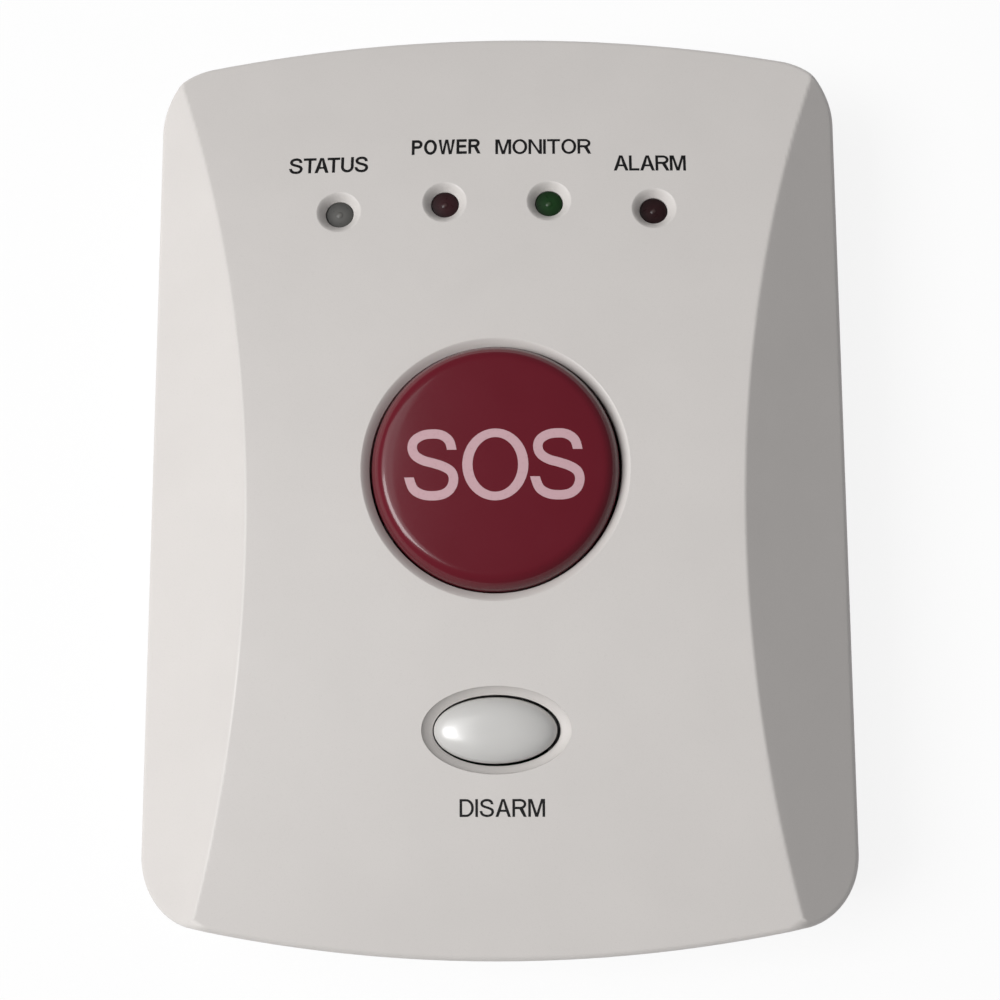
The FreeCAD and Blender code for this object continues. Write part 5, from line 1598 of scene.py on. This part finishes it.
@dataclass
class ReleaseButton:
    """The oval white release button with its pillowed top."""

    middle: Pair = (0.0, -29.7)
    axes: Pair = (6.9, 3.68)
    top: float = 24.03
    brow: float = 21.9
    roundness: float = 2.5
    flange_top: float = 17.6
    skirt_end: float = 16.6
    skirt: float = 1.2
    ceiling: float = 21.2
    flange: Pair = (7.95, 3.3)
    post: float = 1.8
    post_end: float = 16.25
    side_row: float = 20.0
    flange_root: float = 1.1
    tip: float = 0.001

    def oval(self, axes: Pair, angle: float, level: float) -> Vector:
        """Gives a point of an oval round the button's middle."""
        return Vector((*oval_point(self.middle, axes, angle), level))

    def build(self) -> bpy.types.Object:
        """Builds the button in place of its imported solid."""
        draft = Draft()
        rise = self.top - self.brow

        def pillow(angle: float, turn: float) -> Vector:
            """Gives a point of the pillowed top, from its middle to its brow."""
            share = math.sin(turn)
            height = max(1.0 - abs(share) ** self.roundness, 0.0) ** (1.0 / self.roundness)
            return self.oval((self.axes[0] * share, self.axes[1] * share), angle, self.brow + rise * height)

        def side(angle: float, level: float) -> Vector:
            """Gives a point of the upright side."""
            return self.oval(self.axes, angle, level)

        round_it = turns(96)
        draft.patch(pillow, round_it, spread(0.0, math.pi / 2, math.pi / 44), flip=True)
        draft.patch(side, round_it, [self.brow, self.side_row, self.skirt_end], flip=True)
        inner = (self.axes[0] - self.skirt, self.axes[1] - self.skirt)
        rings = [(self.axes, self.skirt_end), (inner, self.skirt_end), (inner, self.ceiling)]
        rings += [((self.post, self.post), self.ceiling), ((self.post, self.post), self.post_end)]
        rings += [((self.tip, self.tip), self.post_end)]
        for (wide, upper), (narrow, lower) in zip(rings, rings[1:]):
            def between(angle: float, share: float) -> Vector:
                """Gives a point between the two rings of the hollow."""
                axes = tuple(wide[n] + (narrow[n] - wide[n]) * share for n in (0, 1))
                return self.oval(axes, angle, upper + (lower - upper) * share)

            draft.patch(between, round_it, [0.0, 1.0], flip=True)
        for end in (-1.0, 1.0):
            near, far = sorted((end * (self.axes[0] - self.flange_root), end * self.flange[0]))
            draft.box(
                (near, self.middle[1] - self.flange[1], self.skirt_end),
                (far, self.middle[1] + self.flange[1], self.flange_top),
            )
        button = draft.build("release_button_cap", Stock.RELEASE_WHITE)
        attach(button, "release_button")
        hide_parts("release_cap")
        return button


@dataclass(frozen=True)
class Lamp:
    """One indicator lamp: which node it stands for, its place, resin and slot."""

    node: str
    middle: Pair
    colour: Colour
    slot: str


@dataclass
class IndicatorLamps:
    """The four unlit lamps in their dishes."""

    radius: float = 1.6
    corner: float = 0.12
    fall: float = 0.06
    pip: float = 0.8
    pip_angle: float = math.pi / 6
    height: float = 5.3
    leg: float = 0.25
    leg_root: float = 0.3
    pitch: float = 1.25
    barrel_row: float = 1.0
    lamps: tuple[Lamp, ...] = (
        Lamp("status_lamp", LAMP_PLACES[0], (0.085, 0.084, 0.08), "clear_lens"),
        Lamp("power_lamp", LAMP_PLACES[1], (0.024, 0.006, 0.008), "red_lens"),
        Lamp("monitor_lamp", LAMP_PLACES[2], (0.005, 0.028, 0.0055), "green_lens"),
        Lamp("alarm_lamp", LAMP_PLACES[3], (0.015, 0.004, 0.005), "red_lens"),
    )

    def build_lamp(self, lamp: Lamp) -> bpy.types.Object:
        """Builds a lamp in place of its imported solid.

        Args:
            lamp: which one.

        Returns:
            The lamp.
        """
        low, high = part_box(lamp.node)
        top, base = high.z / MM, low.z / MM
        seat = top - self.height
        nub = [
            (self.pip * math.sin(turn), top - self.pip * (1 - math.cos(turn)))
            for turn in spread(0.0, self.pip_angle, math.pi / 30)
        ]
        centre = (self.radius - self.corner, nub[-1][1] - self.fall - self.corner)
        bend = [
            (centre[0] + self.corner * math.sin(turn), centre[1] + self.corner * math.cos(turn))
            for turn in spread(0.0, math.pi / 2, math.pi / 12)
        ]
        profile = [
            nub,
            [nub[-1], bend[0]],
            bend + [(self.radius, bend[-1][1] - self.barrel_row), (self.radius, seat)],
            [(self.radius, seat), (0.0, seat)],
        ]
        draft = Draft()
        turned(draft, profile, lamp.middle, 48)
        for side in (-1.0, 1.0):
            x = lamp.middle[0] + side * self.pitch
            y = lamp.middle[1]
            draft.box((x - self.leg, y - self.leg, base), (x + self.leg, y + self.leg, seat + self.leg_root))
        resin = LampResin(lamp.node + "_resin", lamp.colour, lamp.middle)
        made = draft.build(lamp.node + "_lens", resin)
        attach(made, "housing")
        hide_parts(lamp.node)
        return made

    def build(self) -> list[bpy.types.Object]:
        """Builds the four lamps."""
        return [self.build_lamp(lamp) for lamp in self.lamps]


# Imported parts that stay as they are


@dataclass
class PackedParts:
    """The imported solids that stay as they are, listed by finish."""

    nodes: dict[Stock, tuple[str, ...]] = field(default_factory=lambda: {
        Stock.HOUSING: ("rear_cover", "battery_door"),
        Stock.RUBBER: tuple(f"rubber_foot_{number}" for number in range(1, 5)),
        Stock.STEEL: ("case_screws", "board_screws"),
        Stock.BOARD: ("circuit_board", "antenna_board"),
        Stock.BLACK: (
            "lamp_spacers", "call_switch_body", "release_switch_body", "power_switch_knob",
            "controller_chip",
        ),
        Stock.PLUG: ("call_switch_plunger", "release_switch_plunger", "battery_plug", "speaker_plug"),
        Stock.SHIELD: ("power_switch_body", "charging_socket", "radio_module"),
        Stock.CAN: ("supply_coil",),
        Stock.SHEATH: ("battery_lead", "speaker_lead"),
        Stock.SLEEVE: ("battery_pack",),
        Stock.FOAM: ("speaker_gasket",),
        Stock.BASKET: ("loudspeaker",),
    })

    def build(self) -> None:
        """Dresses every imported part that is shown."""
        for finish, names in self.nodes.items():
            for name in names:
                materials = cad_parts[name].data.materials
                materials.clear()
                materials.append(FINISHES.of(finish))


# Floor, light and camera


@dataclass(frozen=True)
class Paper:
    """Floor paper: it keeps shadows, looks white to the camera, and is clear from below."""

    name: str = "floor_paper"
    colour: Colour = (0.9, 0.9, 0.9)
    glow: float = 0.88

    def material(self) -> bpy.types.Material:
        """Makes the material."""
        graph = Graph(self.name)
        paths = graph.add("LightPath")
        seen = Signal(graph, paths.outputs["Is Camera Ray"]) + Signal(graph, paths.outputs["Is Glossy Ray"])
        seen = graph.math("MINIMUM", seen + Signal(graph, paths.outputs["Is Transmission Ray"]), 1.0)
        paper = graph.add("BsdfDiffuse", {}, {"Color": (*self.colour, 1.0)})
        white = graph.add("Emission", {}, {"Color": (1.0, 1.0, 1.0, 1.0), "Strength": 1.0})
        mixed = graph.add("MixShader", {}, {0: seen * self.glow, 1: paper.outputs[0], 2: white.outputs[0]})
        under = graph.add("NewGeometry").outputs["Backfacing"]
        clear = graph.add("BsdfTransparent")
        sided = graph.add("MixShader", {}, {0: under, 1: mixed.outputs[0], 2: clear.outputs[0]})
        graph.add("OutputMaterial", {}, {"Surface": sided.outputs[0]})
        return graph.owner


@dataclass(frozen=True)
class SoftLamp:
    """A square lamp: where it hangs and its side, in metres, and its power in watts."""

    name: str
    place: tuple[float, float, float]
    size: float
    power: float


@dataclass
class Studio:
    """Pale floor, soft light from the left, and the photograph's camera.

    The floor is open under the case, so that a lamp below lights the back in a view from there.
    """

    floor_half: float = 3000.0
    floor_level: float = -0.05
    opening_inset: float = 2.5
    eye_mm: tuple[float, float, float] = (6.5, -37.12, 220.0)
    aim_mm: tuple[float, float, float] = (-0.08, 0.02, 0.0)
    roll: float = -0.003
    lens_mm: float = 63.57
    sensor_mm: float = 36.0
    clip: Pair = (0.01, 20.0)
    lamps: tuple[SoftLamp, ...] = (
        SoftLamp("key_lamp", (-0.7, -0.12, 0.93), 0.55, 9.2),
        SoftLamp("broad_lamp", (-0.7, 0.1, 1.1), 1.0, 6.4),
        SoftLamp("under_lamp", (-0.15, 0.0, -0.8), 0.5, 5.0),
    )
    lamp_aim: tuple[float, float, float] = (0.0, 0.0, 0.02)
    sky: Colour = (0.17, 0.17, 0.175)

    def build_floor(self) -> None:
        """Lays the floor, with its opening under the case."""
        reach = self.floor_half
        square = [(-reach, -reach), (reach, -reach), (reach, reach), (-reach, reach)]
        opening = FORM.inset_loop(self.opening_inset)
        draft = Draft()
        draft.region(lambda x, y: Vector((x, y, self.floor_level)), [square, opening], [])
        floor = draft.build("floor", Paper())
        floor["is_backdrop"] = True

    def build_sky(self) -> None:
        """Sets an even grey sky that looks white to the camera."""
        graph = Graph("studio", sky=True)
        bpy.context.scene.world = graph.owner
        paths = graph.add("LightPath")
        dim = graph.add("Background", {}, {"Color": (*self.sky, 1.0)})
        white = graph.add("Background", {}, {"Color": (1.0, 1.0, 1.0, 1.0)})
        seen = paths.outputs["Is Camera Ray"]
        mixed = graph.add("MixShader", {}, {0: seen, 1: dim.outputs[0], 2: white.outputs[0]})
        graph.add("OutputWorld", {}, {"Surface": mixed.outputs[0]})

    def build_lamp(self, lamp: SoftLamp) -> None:
        """Hangs a lamp that faces the middle of the case.

        Args:
            lamp: which one.
        """
        light = bpy.data.lights.new(lamp.name, "AREA")
        light.size = lamp.size
        light.energy = lamp.power
        hung = bpy.data.objects.new(lamp.name, light)
        hung.location = lamp.place
        towards = Vector(self.lamp_aim) - hung.location
        hung.rotation_euler = towards.to_track_quat("-Z", "Y").to_euler()
        bpy.context.scene.collection.objects.link(hung)

    def build_camera(self) -> None:
        """Sets the camera where the photograph was taken from."""
        eye, aim = Vector(self.eye_mm) * MM, Vector(self.aim_mm) * MM
        forward = (aim - eye).normalized()
        right = forward.cross(Vector((0.0, 1.0, 0.0))).normalized()
        up = right.cross(forward)
        cosine, sine = math.cos(self.roll), math.sin(self.roll)
        right, up = right * cosine + up * sine, up * cosine - right * sine
        turn = Matrix((right, up, -forward)).transposed().to_4x4()
        camera = bpy.data.objects.new("camera", bpy.data.cameras.new("camera"))
        camera.matrix_world = Matrix.Translation(eye) @ turn
        camera.data.sensor_width = self.sensor_mm
        camera.data.lens = self.lens_mm
        camera.data.clip_start, camera.data.clip_end = self.clip
        bpy.context.scene.collection.objects.link(camera)
        bpy.context.scene.camera = camera

    def build(self) -> None:
        """Builds the floor, the sky, the lamps and the camera."""
        self.build_floor()
        self.build_sky()
        for lamp in self.lamps:
            self.build_lamp(lamp)
        self.build_camera()
        bpy.context.scene.view_settings.view_transform = "Standard"


def main() -> None:
    """Dresses the part, sets the studio and reports each piece."""
    logging.basicConfig(level=logging.INFO, format="%(message)s")
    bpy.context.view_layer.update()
    PackedParts().build()
    FrontCover().build()
    CallButton().build()
    ReleaseButton().build()
    IndicatorLamps().build()
    Legends().build()
    Studio().build()
    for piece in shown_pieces():
        REPORT.info("%s: %d faces", piece.name, len(piece.data.polygons))


if __name__ == "__main__":
    main()
